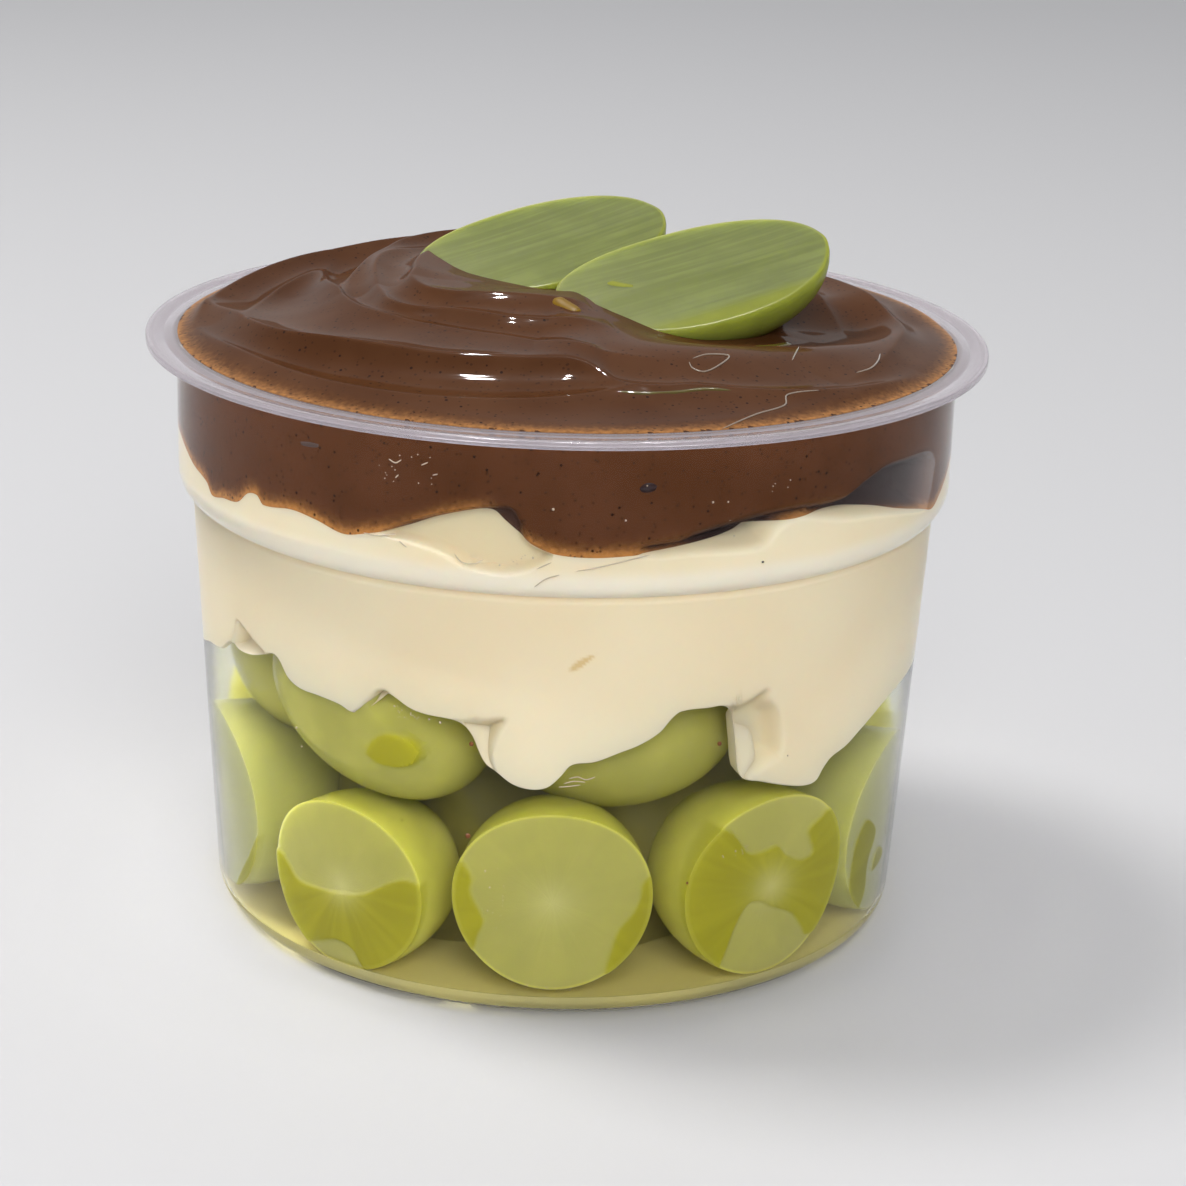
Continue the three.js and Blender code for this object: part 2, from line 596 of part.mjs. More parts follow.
// The chocolate: swirled top, side against the wall with its air pocket, and the underside on the cream
function chocolateGeometry() {
  const top = (ring) => (a) => {
    const r = ringRadius(ring, a);
    return spot(a, r, swirlHeight(r, a));
  };
  const rings = [
    ...INNER_RINGS.map((own) => coarseLayerRing(top({ own, reach: INNER_REACH }))),
    ...OUTER_RINGS.map((own) => layerRing(top({ own, reach: OUTER_REACH }))),
    layerRing((a) => spot(a, LAYER_RADIUS, swirlHeight(LAYER_RADIUS, a))),
    ...SIDE_ROWS_DOWN.map((t) => layerRing((a) => {
      const z = lerp(CHOCOLATE_EDGE, seamHeight(LAYER_RADIUS, a), t);
      return spot(a, LAYER_RADIUS - pocketDepth(a, z), z);
    })),
    layerRing((a) => {
      const r = LAYER_RADIUS - pocketDepth(a, seamHeight(LAYER_RADIUS, a));
      return spot(a, r, seamHeight(r, a) + SEAM_GAP);
    }),
    layerRing((a) => spot(a, SEAM_INNER_RADIUS, seamHeight(SEAM_INNER_RADIUS, a) + SEAM_GAP)),
  ];
  const block = toSolid(ringSolid([0, 0, swirlHeight(0, 0)], rings, [0, 0, SEAM_LEVEL + SEAM_GAP]));
  const sockets = [TOP_LEFT, raised(TOP_LEFT), TOP_RIGHT, raised(TOP_RIGHT)];
  return toGeometry(sockets.reduce((rest, piece) => {
    return rest.subtract(toSolid(topGrape(piece, GAP, TOP_SIDES, SOCKET_ROWS)));
  }, block));
}

// A cut half lifted along the way that its face looks, so that its socket is open above it
function raised(piece) {
  const middle = new THREE.Vector3(0, 0, SOCKET_LIFT).applyMatrix4(topFrame(piece)).toArray();
  return { ...piece, middle };
}

// The white cream: under the chocolate, over the grapes and down the wall in drips
function creamGeometry() {
  const onWall = (a, z) => spot(a, insideRadius(z) - GAP, z);
  const bend = lerp(CREASE_HEIGHT, COLLAR_FOOT, BAND_BEND);
  const rings = [
    layerRing((a) => spot(a, SEAM_INNER_RADIUS, seamHeight(SEAM_INNER_RADIUS, a) - SEAM_GAP)),
    layerRing((a) => onWall(a, seamHeight(LAYER_RADIUS, a) - SEAM_GAP)),
    ...[COLLAR_FOOT, bend, CREASE_HEIGHT].map((z) => layerRing((a) => onWall(a, z))),
    layerRing((a) => onWall(a, hemHeight(a))),
    layerRing((a) => {
      const z = lerp(hemHeight(a), CREAM_FLOOR, LIP_TUCK);
      return spot(a, insideRadius(z) - LIP_THICKNESS, z);
    }),
  ];
  const block = toSolid(ringSolid([0, 0, SEAM_LEVEL - SEAM_GAP], rings, [0, 0, CREAM_FLOOR]));
  return toGeometry(block.subtract(grapeHeap(GAP)));
}

const looks = {
  cup: { color: "#e9ebee", roughness: 0.1, metalness: 0, transparent: true, opacity: 0.35 },
  chocolate: { color: "#5d3d2c", roughness: 0.3, metalness: 0 },
  cream: { color: "#f1e3c2", roughness: 0.5, metalness: 0 },
  grape: { color: "#a7ae5a", roughness: 0.35, metalness: 0 },
};

const dessert = new THREE.Group();

function addPiece(name, geometry, look) {
  const piece = new THREE.Mesh(geometry, new THREE.MeshStandardMaterial(looks[look]));
  piece.name = name;
  dessert.add(piece);
}

addPiece("cup", cupGeometry(), "cup");
addPiece("grape_heap", toGeometry(grapeHeap(0)), "grape");
addPiece("white_cream", creamGeometry(), "cream");
addPiece("chocolate_swirl", chocolateGeometry(), "chocolate");
addPiece("top_grape_left", topGrape(TOP_LEFT, 0, TOP_SIDES, TOP_ROWS), "grape");
addPiece("top_grape_right", topGrape(TOP_RIGHT, 0, TOP_SIDES, TOP_ROWS), "grape");

export default dessert;
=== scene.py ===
# %% [markdown]
# # A grape cream dessert in a clear cup
# The dessert is a stack that shows twice: through the clear wall, and from above where the chocolate
# domes over the rim. Every piece is round the same upright axis, so most of them are rings of points
# that are joined into skins. All working sizes are in millimetres and all angles in degrees round the
# cup, where 0 is the front and 90 the right side, because that is how one would measure the real thing.

# %% Load the measured frame
import math
import random

import bpy
import numpy as np
from mathutils import Matrix, Vector
from mathutils.bvhtree import BVHTree


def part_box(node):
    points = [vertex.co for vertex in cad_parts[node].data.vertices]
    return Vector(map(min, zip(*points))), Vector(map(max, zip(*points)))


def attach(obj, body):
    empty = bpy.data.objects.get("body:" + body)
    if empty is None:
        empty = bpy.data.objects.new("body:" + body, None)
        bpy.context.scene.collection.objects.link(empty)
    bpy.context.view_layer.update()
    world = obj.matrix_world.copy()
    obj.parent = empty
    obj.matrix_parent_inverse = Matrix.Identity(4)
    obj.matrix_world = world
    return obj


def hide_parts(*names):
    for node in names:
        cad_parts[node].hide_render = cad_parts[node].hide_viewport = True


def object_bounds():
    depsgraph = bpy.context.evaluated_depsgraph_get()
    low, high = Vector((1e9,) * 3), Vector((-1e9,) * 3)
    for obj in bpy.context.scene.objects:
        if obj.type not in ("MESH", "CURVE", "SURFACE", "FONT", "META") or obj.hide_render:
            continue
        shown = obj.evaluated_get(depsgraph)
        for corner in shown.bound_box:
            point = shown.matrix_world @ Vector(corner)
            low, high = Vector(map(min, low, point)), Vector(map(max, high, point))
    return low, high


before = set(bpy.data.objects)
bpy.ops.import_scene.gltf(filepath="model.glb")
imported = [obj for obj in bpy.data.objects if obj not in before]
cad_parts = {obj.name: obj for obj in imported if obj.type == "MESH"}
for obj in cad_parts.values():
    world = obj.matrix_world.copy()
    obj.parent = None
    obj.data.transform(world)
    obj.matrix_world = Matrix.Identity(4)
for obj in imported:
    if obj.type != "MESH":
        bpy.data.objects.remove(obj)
cad_low, cad_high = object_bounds()
MM = 0.001
print("nodes in the frame", len(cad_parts))
print("measured box in mm", [round(side / MM, 1) for side in cad_high - cad_low])

# %% [markdown]
# ## Sizes
# The cup is one thin sheet of plastic, so a few radii and heights give all of it: the flange, the
# upright collar under it, the crease where the collar steps in, the tapering body and the foot ring.
# The two that the frame measures are read from it. The rest are the same sizes as in the part.

# %% Sizes of the cup
FLANGE_RADIUS = cad_high.x / MM
FLANGE_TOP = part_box("cup")[1].z / MM
SHEET = 0.5
LIP_DEPTH = 0.85
LIP_WIDTH = 0.6
RING_LINE_RADIUS = 45.5
COLLAR_RADIUS = 44.1
COLLAR_FOOT = 51.8
CREASE_RADIUS = 42.1
CREASE_HEIGHT = 48.9
SHOULDER_RADIUS = 42.45
SHOULDER_HEIGHT = 48.1
BASE_RADIUS = 40.05
BASE_FILLET = 3.0
FOOT_INNER_RADIUS = 33.4
FOOT_HEIGHT = 0.8
INNER_RADIUS = COLLAR_RADIUS - SHEET
INTO_WALL = 0.12
print("flange", round(FLANGE_RADIUS, 2), "mm at", round(FLANGE_TOP, 2), "mm")

# %% [markdown]
# ## Curves and rings
# Food has no straight edges. A hem of cream or a crest of chocolate is given by a few points that one
# would mark by hand, and a smooth curve is drawn through them. The slope at each point comes from its
# neighbours, which never overshoots as badly as one long polynomial would.

# %% Curves through a few points
def clamp(x):
    return np.clip(x, 0.0, 1.0)


def smooth(x):
    return clamp(x) ** 2 * (3 - 2 * clamp(x))


def curve_through(points, x):
    """A smooth curve through points of rising x."""
    px, py = np.array(points, float).T
    last = len(px) - 1
    before = np.maximum(np.arange(len(px)) - 1, 0)
    after = np.minimum(np.arange(len(px)) + 1, last)
    slope = (py[after] - py[before]) / (px[after] - px[before])
    x = np.clip(x, px[0], px[last])
    k = np.clip(np.searchsorted(px, x, side="right") - 1, 0, last - 1)
    span = px[k + 1] - px[k]
    t = (x - px[k]) / span
    level = (2 * t**3 - 3 * t**2 + 1) * py[k] + (3 * t**2 - 2 * t**3) * py[k + 1]
    return level + (t**3 - 2 * t**2 + t) * span * slope[k] + (t**3 - t**2) * span * slope[k + 1]


def curve_round(points, angle):
    """The same curve carried round the cup, so that it closes on itself."""
    first = points[0][0]
    before = [(points[-1][0] - 360, points[-1][1])]
    after = [(a + 360, level) for a, level in points[:2]]
    return curve_through(before + points + after, first + np.mod(angle - first, 360))


def between(angle, other):
    """The difference of two angles, from -180 to 180."""
    return np.mod(angle - other + 180, 360) - 180


def spots(radius, angle, height):
    """Points of the cup at a radius, an angle and a height."""
    radius, angle, height = np.broadcast_arrays(radius, np.radians(angle), height)
    return np.stack([radius * np.sin(angle), -radius * np.cos(angle), height], axis=-1)


def inside_radius(height):
    """Radius of the cup's inner face at a height."""
    height = np.asarray(height, float)
    bulge = clamp((height - CREASE_HEIGHT) / (COLLAR_FOOT - CREASE_HEIGHT))
    collar = CREASE_RADIUS + (COLLAR_RADIUS - CREASE_RADIUS) * np.sqrt(1 - (1 - bulge) ** 2)
    crease = (height - SHOULDER_HEIGHT) / (CREASE_HEIGHT - SHOULDER_HEIGHT)
    body = (height - BASE_FILLET) / (SHOULDER_HEIGHT - BASE_FILLET)
    drop = BASE_FILLET - np.maximum(height, SHEET)
    inner_fillet = BASE_FILLET - SHEET
    foot = BASE_RADIUS - inner_fillet + np.sqrt(np.maximum(inner_fillet**2 - drop**2, 0))
    return np.select(
        [height >= CREASE_HEIGHT, height >= SHOULDER_HEIGHT, height >= BASE_FILLET],
        [collar, SHOULDER_RADIUS + (CREASE_RADIUS - SHOULDER_RADIUS) * crease,
         BASE_RADIUS + (SHOULDER_RADIUS - BASE_RADIUS) * body],
        foot,
    ) - SHEET


print("inner radius at the crease", round(float(inside_radius(CREASE_HEIGHT)), 2), "mm")

# %% [markdown]
# ## Patches with an outline
# Where food touches the clear wall it looks dark and wet, and where it stands back it looks pale. The
# borders of those patches are lobed outlines, given by a few points in millimetres and rounded off.
# For every point of a skin, the distance to the outline is measured, positive inside.

# %% Distance to a closed outline
OUTLINE_STEPS = 8


def rounded_outline(points):
    """A closed curve through a few points, as many short steps."""
    corners = np.array(points, float)
    t = (np.arange(OUTLINE_STEPS) / OUTLINE_STEPS)[:, None]
    a, b, c, d = (np.roll(corners, shift, axis=0)[:, None] for shift in (1, 0, -1, -2))
    bend, twist = 2 * a - 5 * b + 4 * c - d, 3 * b - a - 3 * c + d
    curve = 0.5 * (2 * b + (c - a) * t + bend * t**2 + twist * t**3)
    return curve.reshape(-1, 2)


def depth_inside(points, x, y):
    """How far inside a closed outline each place is, in the outline's own units; negative outside."""
    start = rounded_outline(points)
    end = np.roll(start, -1, axis=0)
    x, y = np.broadcast_arrays(x, y)
    nearest = np.full(x.shape, np.inf)
    inside = np.zeros(x.shape, bool)
    for (x0, y0), (x1, y1) in zip(start, end):
        dx, dy = x1 - x0, y1 - y0
        t = clamp(((x - x0) * dx + (y - y0) * dy) / (dx * dx + dy * dy + 1e-12))
        nearest = np.minimum(nearest, np.hypot(x - x0 - t * dx, y - y0 - t * dy))
        crosses = (y0 > y) != (y1 > y)
        inside ^= crosses & (x < x0 + (y - y0) * dx / (dy if dy else 1e-12))
    return np.where(inside, nearest, -nearest)


print("middle of a rounded square is inside by", depth_inside([(0, 0), (0, 2), (2, 2), (2, 0)], 1, 1))

# %% [markdown]
# ## Skins of rings
# A skin is a grid of points, row by row, closed round each row and shut by a middle point at each end.
# Numbers that a finish needs later, such as how wet a point is, are kept at the points as attributes.

# %% Make a skin from rings
SOFT_EDGE = math.radians(38)


def make_piece(name, points, faces, finishes):
    """A smooth piece from points in millimetres and faces, with its materials."""
    mesh = bpy.data.meshes.new(name)
    mesh.from_pydata((np.asarray(points) * MM).tolist(), [], faces)
    for finish in finishes:
        mesh.materials.append(finish)
    mesh.shade_smooth()
    piece = bpy.data.objects.new(name, mesh)
    bpy.context.scene.collection.objects.link(piece)
    print(name, len(mesh.polygons), "faces")
    return piece


def settle(piece, slot, *nodes):
    """A piece moves with the one body and stands for the CAD nodes named, if any; its slot is not used.
    """
    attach(piece, "root")
    if nodes:
        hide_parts(*nodes)


def lay_skin(name, rings, finishes, top, bottom, marks=None, slots=None):
    """A closed piece from rings of points in millimetres, from its top middle out, down and back in."""
    rows, columns = rings.shape[:2]
    here = np.arange(rows * columns).reshape(rows, columns)
    beside = np.roll(here, -1, axis=1)
    quads = np.stack([here[:-1], here[1:], beside[1:], beside[:-1]], axis=-1).reshape(-1, 4)
    first, last = rows * columns, rows * columns + 1
    caps = [(first, a, b) for a, b in zip(here[0].tolist(), beside[0].tolist())]
    caps += [(last, b, a) for a, b in zip(here[-1].tolist(), beside[-1].tolist())]
    points = np.vstack([rings.reshape(-1, 3), [top], [bottom]])
    piece = make_piece(name, points, quads.tolist() + caps, finishes)
    mesh = piece.data
    for label, values in (marks or {}).items():
        flat = np.asarray(values, float).reshape(rows * columns, -1)
        ends = np.vstack([flat, flat[:columns].mean(axis=0), flat[-columns:].mean(axis=0)])
        kind, field = ("FLOAT", "value") if flat.shape[1] == 1 else ("FLOAT_VECTOR", "vector")
        mesh.attributes.new(label, kind, "POINT").data.foreach_set(field, ends.ravel())
    if slots is not None:
        per_face = np.concatenate([np.repeat(slots, columns), np.zeros(2 * columns, int)])
        mesh.polygons.foreach_set("material_index", per_face.astype(np.int32))
    mesh.set_sharp_from_angle(angle=SOFT_EDGE)
    return piece


print("edges sharper than", round(math.degrees(SOFT_EDGE)), "degrees stay crisp")

# %% [markdown]
# ## Shader maths
# A finish is a small sum: some colour here, a little rougher there. Written as nodes it is hard to read,
# so a number that varies over a surface is wrapped in a class whose plus, minus and times signs add the
# Math nodes. Colours are mixed by Mix nodes, since a Math node would turn a colour grey.

# %% Numbers that vary over a surface
class Shade:
    """A number that varies over a surface, with plain arithmetic."""

    def __init__(self, finish, socket):
        self.finish = finish
        self.socket = socket

    def reckon(self, operation, first, second):
        node = self.finish.node("ShaderNodeMath", {"operation": operation}, {0: first, 1: second})
        return Shade(self.finish, node.outputs[0])

    def __add__(self, other):
        return self.reckon("ADD", self, other)

    def __rsub__(self, other):
        return self.reckon("SUBTRACT", other, self)

    def __mul__(self, other):
        return self.reckon("MULTIPLY", self, other)

    def step(self, low, high):
        """0 below low, 1 above high and smooth between them; the other way round if high is the lower."""
        node = self.finish.node("ShaderNodeMapRange", {"interpolation_type": "SMOOTHSTEP"},
                                {"Value": self, "From Min": low, "From Max": high})
        return Shade(self.finish, node.outputs[0])

    __radd__ = __add__
    __rmul__ = __mul__


class Nodes:
    """A node tree with one short way to add a node."""

    def __init__(self, tree):
        self.tree = tree

    def plug(self, value, socket):
        """Puts a link or a plain value into a socket."""
        value = value.socket if isinstance(value, Shade) else value
        if isinstance(value, bpy.types.NodeSocket):
            self.tree.links.new(value, socket)
        else:
            socket.default_value = value

    def node(self, kind, settings=None, inputs=None):
        """Adds a node: its settings are set first, then its sockets get values or links."""
        node = self.tree.nodes.new(kind)
        for label, value in (settings or {}).items():
            setattr(node, label, value)
        for label, value in (inputs or {}).items():
            self.plug(value, node.inputs[label])
        return node


class Finish(Nodes):
    """A material with one Principled shader and short ways to add what feeds it."""

    def __init__(self, name, **constants):
        self.material = bpy.data.materials.new(name)
        self.material.use_nodes = True
        super().__init__(self.material.node_tree)
        self.tree.nodes.clear()
        self.surface = self.node("ShaderNodeBsdfPrincipled", inputs=constants)
        self.end = self.node("ShaderNodeOutputMaterial", inputs={"Surface": self.surface.outputs[0]})
        print("finish", name)

    def feed(self, **links):
        """Feeds the Principled shader; an underscore in a name stands for a space."""
        for label, value in links.items():
            self.plug(value, self.surface.inputs[label.replace("_", " ")])

    def let_light_through(self, tint=(1, 1, 1)):
        """Lets shadow rays pass with a tint, so that lamps shine through without a hard shadow."""
        ray = self.node("ShaderNodeLightPath")
        open_way = self.node("ShaderNodeBsdfTransparent", inputs={"Color": (*tint, 1)})
        mix = self.node("ShaderNodeMixShader", inputs={
            0: ray.outputs["Is Shadow Ray"], 1: self.surface.outputs[0], 2: open_way.outputs[0]})
        self.plug(mix.outputs[0], self.end.inputs[0])

    def mark(self, label):
        """A number kept at the points of a skin."""
        node = self.node("ShaderNodeAttribute", {"attribute_name": label})
        return Shade(self, node.outputs["Fac"])

    def stretched(self, place, stretch):
        node = self.node("ShaderNodeVectorMath", {"operation": "MULTIPLY"}, {0: place, 1: stretch})
        return node.outputs[0]

    def mark_place(self, label, stretch):
        """A place kept at the points of a skin, stretched along each axis."""
        node = self.node("ShaderNodeAttribute", {"attribute_name": label})
        return self.stretched(node.outputs["Vector"], stretch)

    def place(self):
        """Places on the piece in millimetres."""
        return self.stretched(self.node("ShaderNodeTexCoord").outputs["Object"], [1 / MM] * 3)

    def cloud(self, place, scale, detail=2.0):
        """Soft blotches from 0 to 1, scale of them to a millimetre."""
        node = self.node("ShaderNodeTexNoise", inputs={"Vector": place, "Scale": scale, "Detail": detail})
        return Shade(self, node.outputs["Fac"])

    def dots(self, place, scale):
        """Distance from the nearest of many scattered points, in cells."""
        node = self.node("ShaderNodeTexVoronoi", inputs={"Vector": place, "Scale": scale})
        return Shade(self, node.outputs["Distance"])

    def blend(self, share, first, second):
        """A colour that goes from the first to the second as share goes from 0 to 1."""
        colours = {6: paint(first), 7: paint(second)}
        return self.node("ShaderNodeMix", {"data_type": "RGBA"}, {0: share, **colours}).outputs[2]

    def relief(self, height, distance):
        """Fine relief: the height in a bump that is distance millimetres deep."""
        node = self.node("ShaderNodeBump", inputs={"Height": height, "Distance": distance * MM})
        return node.outputs[0]


def paint(colour):
    """A plain colour gets an opacity of 1; a socket stays as it is."""
    return colour if isinstance(colour, bpy.types.NodeSocket) else (*colour, 1.0)


print("shader maths ready")

# %% [markdown]
# ## Camera
# The photograph was taken from a little above, close enough for the near side of the rim to bulge. The
# camera's place, tilt and roll were worked out from the ellipses of the rim, the step and the base.

# %% Camera
EYE = (0.0, -328.7, 145.8)
PITCH = math.radians(18.58)
YAW = math.radians(0.656)
ROLL = math.radians(1.81)

camera = bpy.data.objects.new("photo_camera", bpy.data.cameras.new("photo_camera"))
bpy.context.scene.collection.objects.link(camera)
camera.data.lens = 90.0
camera.data.clip_start = 0.01
turned = (Matrix.Rotation(-YAW, 4, "Z") @ Matrix.Rotation(math.pi / 2 - PITCH, 4, "X")
          @ Matrix.Rotation(ROLL, 4, "Z"))
camera.matrix_world = Matrix.Translation(Vector(EYE) * MM) @ turned
bpy.context.scene.camera = camera
print("camera looks along", [round(x, 3) for x in turned.to_3x3() @ Vector((0, 0, -1))])

# %% [markdown]
# ## Floor and light
# The cup stands on a pale floor in soft light. Glossy food needs something to mirror: a sky that is
# brightest behind and above gives the grey sheen on the flat tops of the swirl, and a few small lamps
# high up give the sharp glints. The soft lamps hang near the cup, so the floor turns greyer away from
# it, and the pale rim stands out in every view.

# %% Floor
floor_finish = Finish("pale_floor", **{"Base Color": (0.53, 0.53, 0.545, 1), "Roughness": 0.6})
bpy.ops.mesh.primitive_circle_add(vertices=96, radius=2.5, fill_type="NGON")
floor = bpy.context.object
floor.name = "floor"
floor.data.materials.append(floor_finish.material)

# %% Sky and lamps
SKY_COLOUR = (0.97, 0.98, 1.0, 1)
SKY_BRIGHTEST_WAY = (0.0, 0.75, 0.35)
SKY_REACH = 0.75
SKY_STRENGTH = (0.22, 0.62)

world = bpy.data.worlds.new("studio")
bpy.context.scene.world = world
world.use_nodes = True
sky = Nodes(world.node_tree)
sky_place = sky.node("ShaderNodeTexCoord").outputs["Generated"]
sky_way = sky.node("ShaderNodeVectorMath", {"operation": "DOT_PRODUCT"},
                   {0: sky_place, 1: SKY_BRIGHTEST_WAY})
sky_ramp = sky.node("ShaderNodeMapRange", inputs={
    "Value": sky_way.outputs["Value"], "From Min": -SKY_REACH, "From Max": SKY_REACH,
    "To Min": SKY_STRENGTH[0], "To Max": SKY_STRENGTH[1]})
background = world.node_tree.nodes["Background"]
sky.plug(sky_ramp.outputs[0], background.inputs["Strength"])
sky.plug(SKY_COLOUR, background.inputs["Color"])


def hang_lamp(name, place, aim, size, power, colour=(1, 1, 1), glints=False):
    """A round lamp that either lights the food softly or only leaves glints on what is glossy."""
    lamp = bpy.data.objects.new(name, bpy.data.lights.new(name, "AREA"))
    bpy.context.scene.collection.objects.link(lamp)
    lamp.data.shape = "DISK"
    lamp.data.size = size
    lamp.data.energy = power
    lamp.data.color = colour
    lamp.location = place
    lamp.rotation_euler = (Vector(aim) - Vector(place)).to_track_quat("-Z", "Y").to_euler()
    lamp.visible_glossy = glints
    lamp.visible_transmission = False
    lamp.visible_diffuse = not glints


CUP_MIDDLE = (0.0, 0.0, 0.04)
GLINT_PLACES = [(-0.22, -0.10), (-0.18, 0.06), (0.02, -0.06), (0.20, 0.05)]
hang_lamp("key", (-0.45, 0.15, 0.95), CUP_MIDDLE, 0.34, 7.4, (1.0, 0.98, 0.95))
hang_lamp("fill", (0.1, -0.85, 0.62), CUP_MIDDLE, 0.6, 6.4)
for number, place in enumerate(GLINT_PLACES, 1):
    hang_lamp(f"glint_{number}", (*place, 1.1), CUP_MIDDLE, 0.06, 9.0, glints=True)
bpy.context.scene.view_settings.view_transform = "Standard"

# %% [markdown]
# ## The clear cup
# The cup is blown from one thin clear sheet. Its outside is glossy, but its inside is faintly frosted:
# where it is dry, what lies behind looks milky and soft, and where cream or juice wets it, the frost
# vanishes. That is why it is made as a real wall with two faces, clear outside and frosted inside, and
# why the food that touches it reaches just into the wall, past the frost.

# %% Plastic finishes
def clear_plastic(name, roughness, clarity, tint, ior):
    """Clear plastic; its specular tint keeps the sheen of pale surroundings faint on dark food."""
    finish = Finish(name, **{"Base Color": (*tint, 1), "Roughness": roughness, "IOR": ior,
                             "Transmission Weight": clarity, "Specular Tint": (0.55, 0.55, 0.57, 1)})
    finish.let_light_through()
    return finish.material


glossy_side = clear_plastic("clear_plastic_outside", 0.0, 1.0, (0.985, 0.99, 1.0), 1.22)
frosted_side = clear_plastic("frosted_plastic_inside", 0.12, 1.0, (0.97, 0.98, 0.98), 1.22)
hazy_rim = clear_plastic("hazy_plastic_rim", 0.12, 0.74, (0.54, 0.505, 0.535), 1.38)

# %% Cup
CUP_COLUMNS = 360
LIP_ROUND = 0.22
LIP_EDGE_ROUND = 0.15
UNDER_LIP_ROUND = 0.3
FLANGE_BEND = 0.5
RING_LINE = [(0.35, 0), (0.1, 0.16), (-0.1, 0.16), (-0.35, 0)]
OUTSIDE, INSIDE, RIM = 0, 1, 2


def arc(x, z, across, up, start, end, steps):
    turn = np.radians(np.linspace(start, end, steps + 1))
    return list(zip(x + across * np.cos(turn), z + up * np.sin(turn)))


def fillet(x, z, radius, start, end, steps=3):
    return arc(x, z, radius, radius, start, end, steps)


def cup_profile():
    """Outline of the wall, from the base up outside, over the flange and down inside."""
    under = FLANGE_TOP - SHEET
    lip = FLANGE_RADIUS - LIP_WIDTH
    lip_foot = FLANGE_TOP - LIP_DEPTH + LIP_EDGE_ROUND
    rise, bulge = COLLAR_FOOT - CREASE_HEIGHT, COLLAR_RADIUS - CREASE_RADIUS
    base = BASE_RADIUS - BASE_FILLET
    outside = [
        (FOOT_INNER_RADIUS - FOOT_HEIGHT, FOOT_HEIGHT),
        (FOOT_INNER_RADIUS, 0),
        *fillet(base, BASE_FILLET, BASE_FILLET, -90, 0, 10),
        (SHOULDER_RADIUS, SHOULDER_HEIGHT),
        *arc(CREASE_RADIUS, COLLAR_FOOT, bulge, rise, -90, 0, 12),
        *fillet(COLLAR_RADIUS + FLANGE_BEND, under - FLANGE_BEND, FLANGE_BEND, 180, 90, 5),
        *fillet(lip - UNDER_LIP_ROUND, under - UNDER_LIP_ROUND, UNDER_LIP_ROUND, 90, 0),
        *fillet(lip + LIP_EDGE_ROUND, lip_foot, LIP_EDGE_ROUND, 180, 270),
        *fillet(FLANGE_RADIUS - LIP_EDGE_ROUND, lip_foot, LIP_EDGE_ROUND, -90, 0),
        *fillet(FLANGE_RADIUS - LIP_ROUND, FLANGE_TOP - LIP_ROUND, LIP_ROUND, 0, 90, 5),
    ]
    top = [(RING_LINE_RADIUS + out, FLANGE_TOP - deep) for out, deep in RING_LINE]
    top += fillet(INNER_RADIUS + FLANGE_BEND, FLANGE_TOP - FLANGE_BEND, FLANGE_BEND, 90, 180, 5)
    inside = [
        *arc(CREASE_RADIUS - SHEET, COLLAR_FOOT, bulge, rise, 0, -90, 12),
        (SHOULDER_RADIUS - SHEET, SHOULDER_HEIGHT),
        *fillet(base, BASE_FILLET, BASE_FILLET - SHEET, 0, -90, 8),
        (FOOT_INNER_RADIUS + 0.2, SHEET),
        (FOOT_INNER_RADIUS - FOOT_HEIGHT + 0.2, FOOT_HEIGHT + SHEET),
    ]
    below_flange = next(k for k, (_, z) in enumerate(outside) if z > under - 0.6)
    to_inside = len(outside) + len(top) - 1
    slots = [OUTSIDE] * below_flange + [RIM] * (to_inside - below_flange) + [INSIDE] * len(inside)
    return np.array(outside + top + inside), slots


profile, cup_slots = cup_profile()
cup_angles = np.arange(CUP_COLUMNS) * 360 / CUP_COLUMNS
cup_rings = spots(profile[:, :1], cup_angles[None], profile[:, 1:])[::-1]
cup = lay_skin("clear_cup", cup_rings, [glossy_side, frosted_side, hazy_rim],
               (0, 0, FOOT_HEIGHT + SHEET), (0, 0, FOOT_HEIGHT), slots=cup_slots[::-1])
settle(cup, "clear_plastic", "cup")

# %% [markdown]
# ## Seam, hem and pockets
# Three lines on the wall divide the layers: the seam between chocolate and cream, the hem where the
# cream ends above the grapes, and the rims of a few pockets where a layer has come away from the wall.
# They are marked here once, and both layers are shaped from them.

# %% Lines on the wall
SEAM = [
    (-104, 55.5), (-82, 56.4), (-75, 56.1), (-67, 54.6), (-61.5, 53.8), (-59.7, 52.7), (-56, 53.1),
    (-52, 53.5), (-49.5, 54.9), (-47.3, 55.1), (-46, 54.3), (-40, 54.8), (-35.5, 54.4), (-31, 53.6),
    (-27.5, 54.1), (-22, 55.3), (-17, 56.9), (-12, 58.0), (-9.4, 57.9), (-8, 57.0), (-5.6, 55.6),
    (-2, 54.2), (3.5, 53.7), (11, 54.0), (18.7, 54.6), (25, 55.1), (30, 56.1), (37, 56.4), (43, 56.1),
    (50, 55.2), (56, 54.0), (63, 52.7), (67, 52.0), (71, 52.9), (77, 54.5), (88, 56.0), (104, 55.0),
    (130, 57.2), (152, 54.4), (176, 56.6), (200, 54.6), (226, 57.0),
]
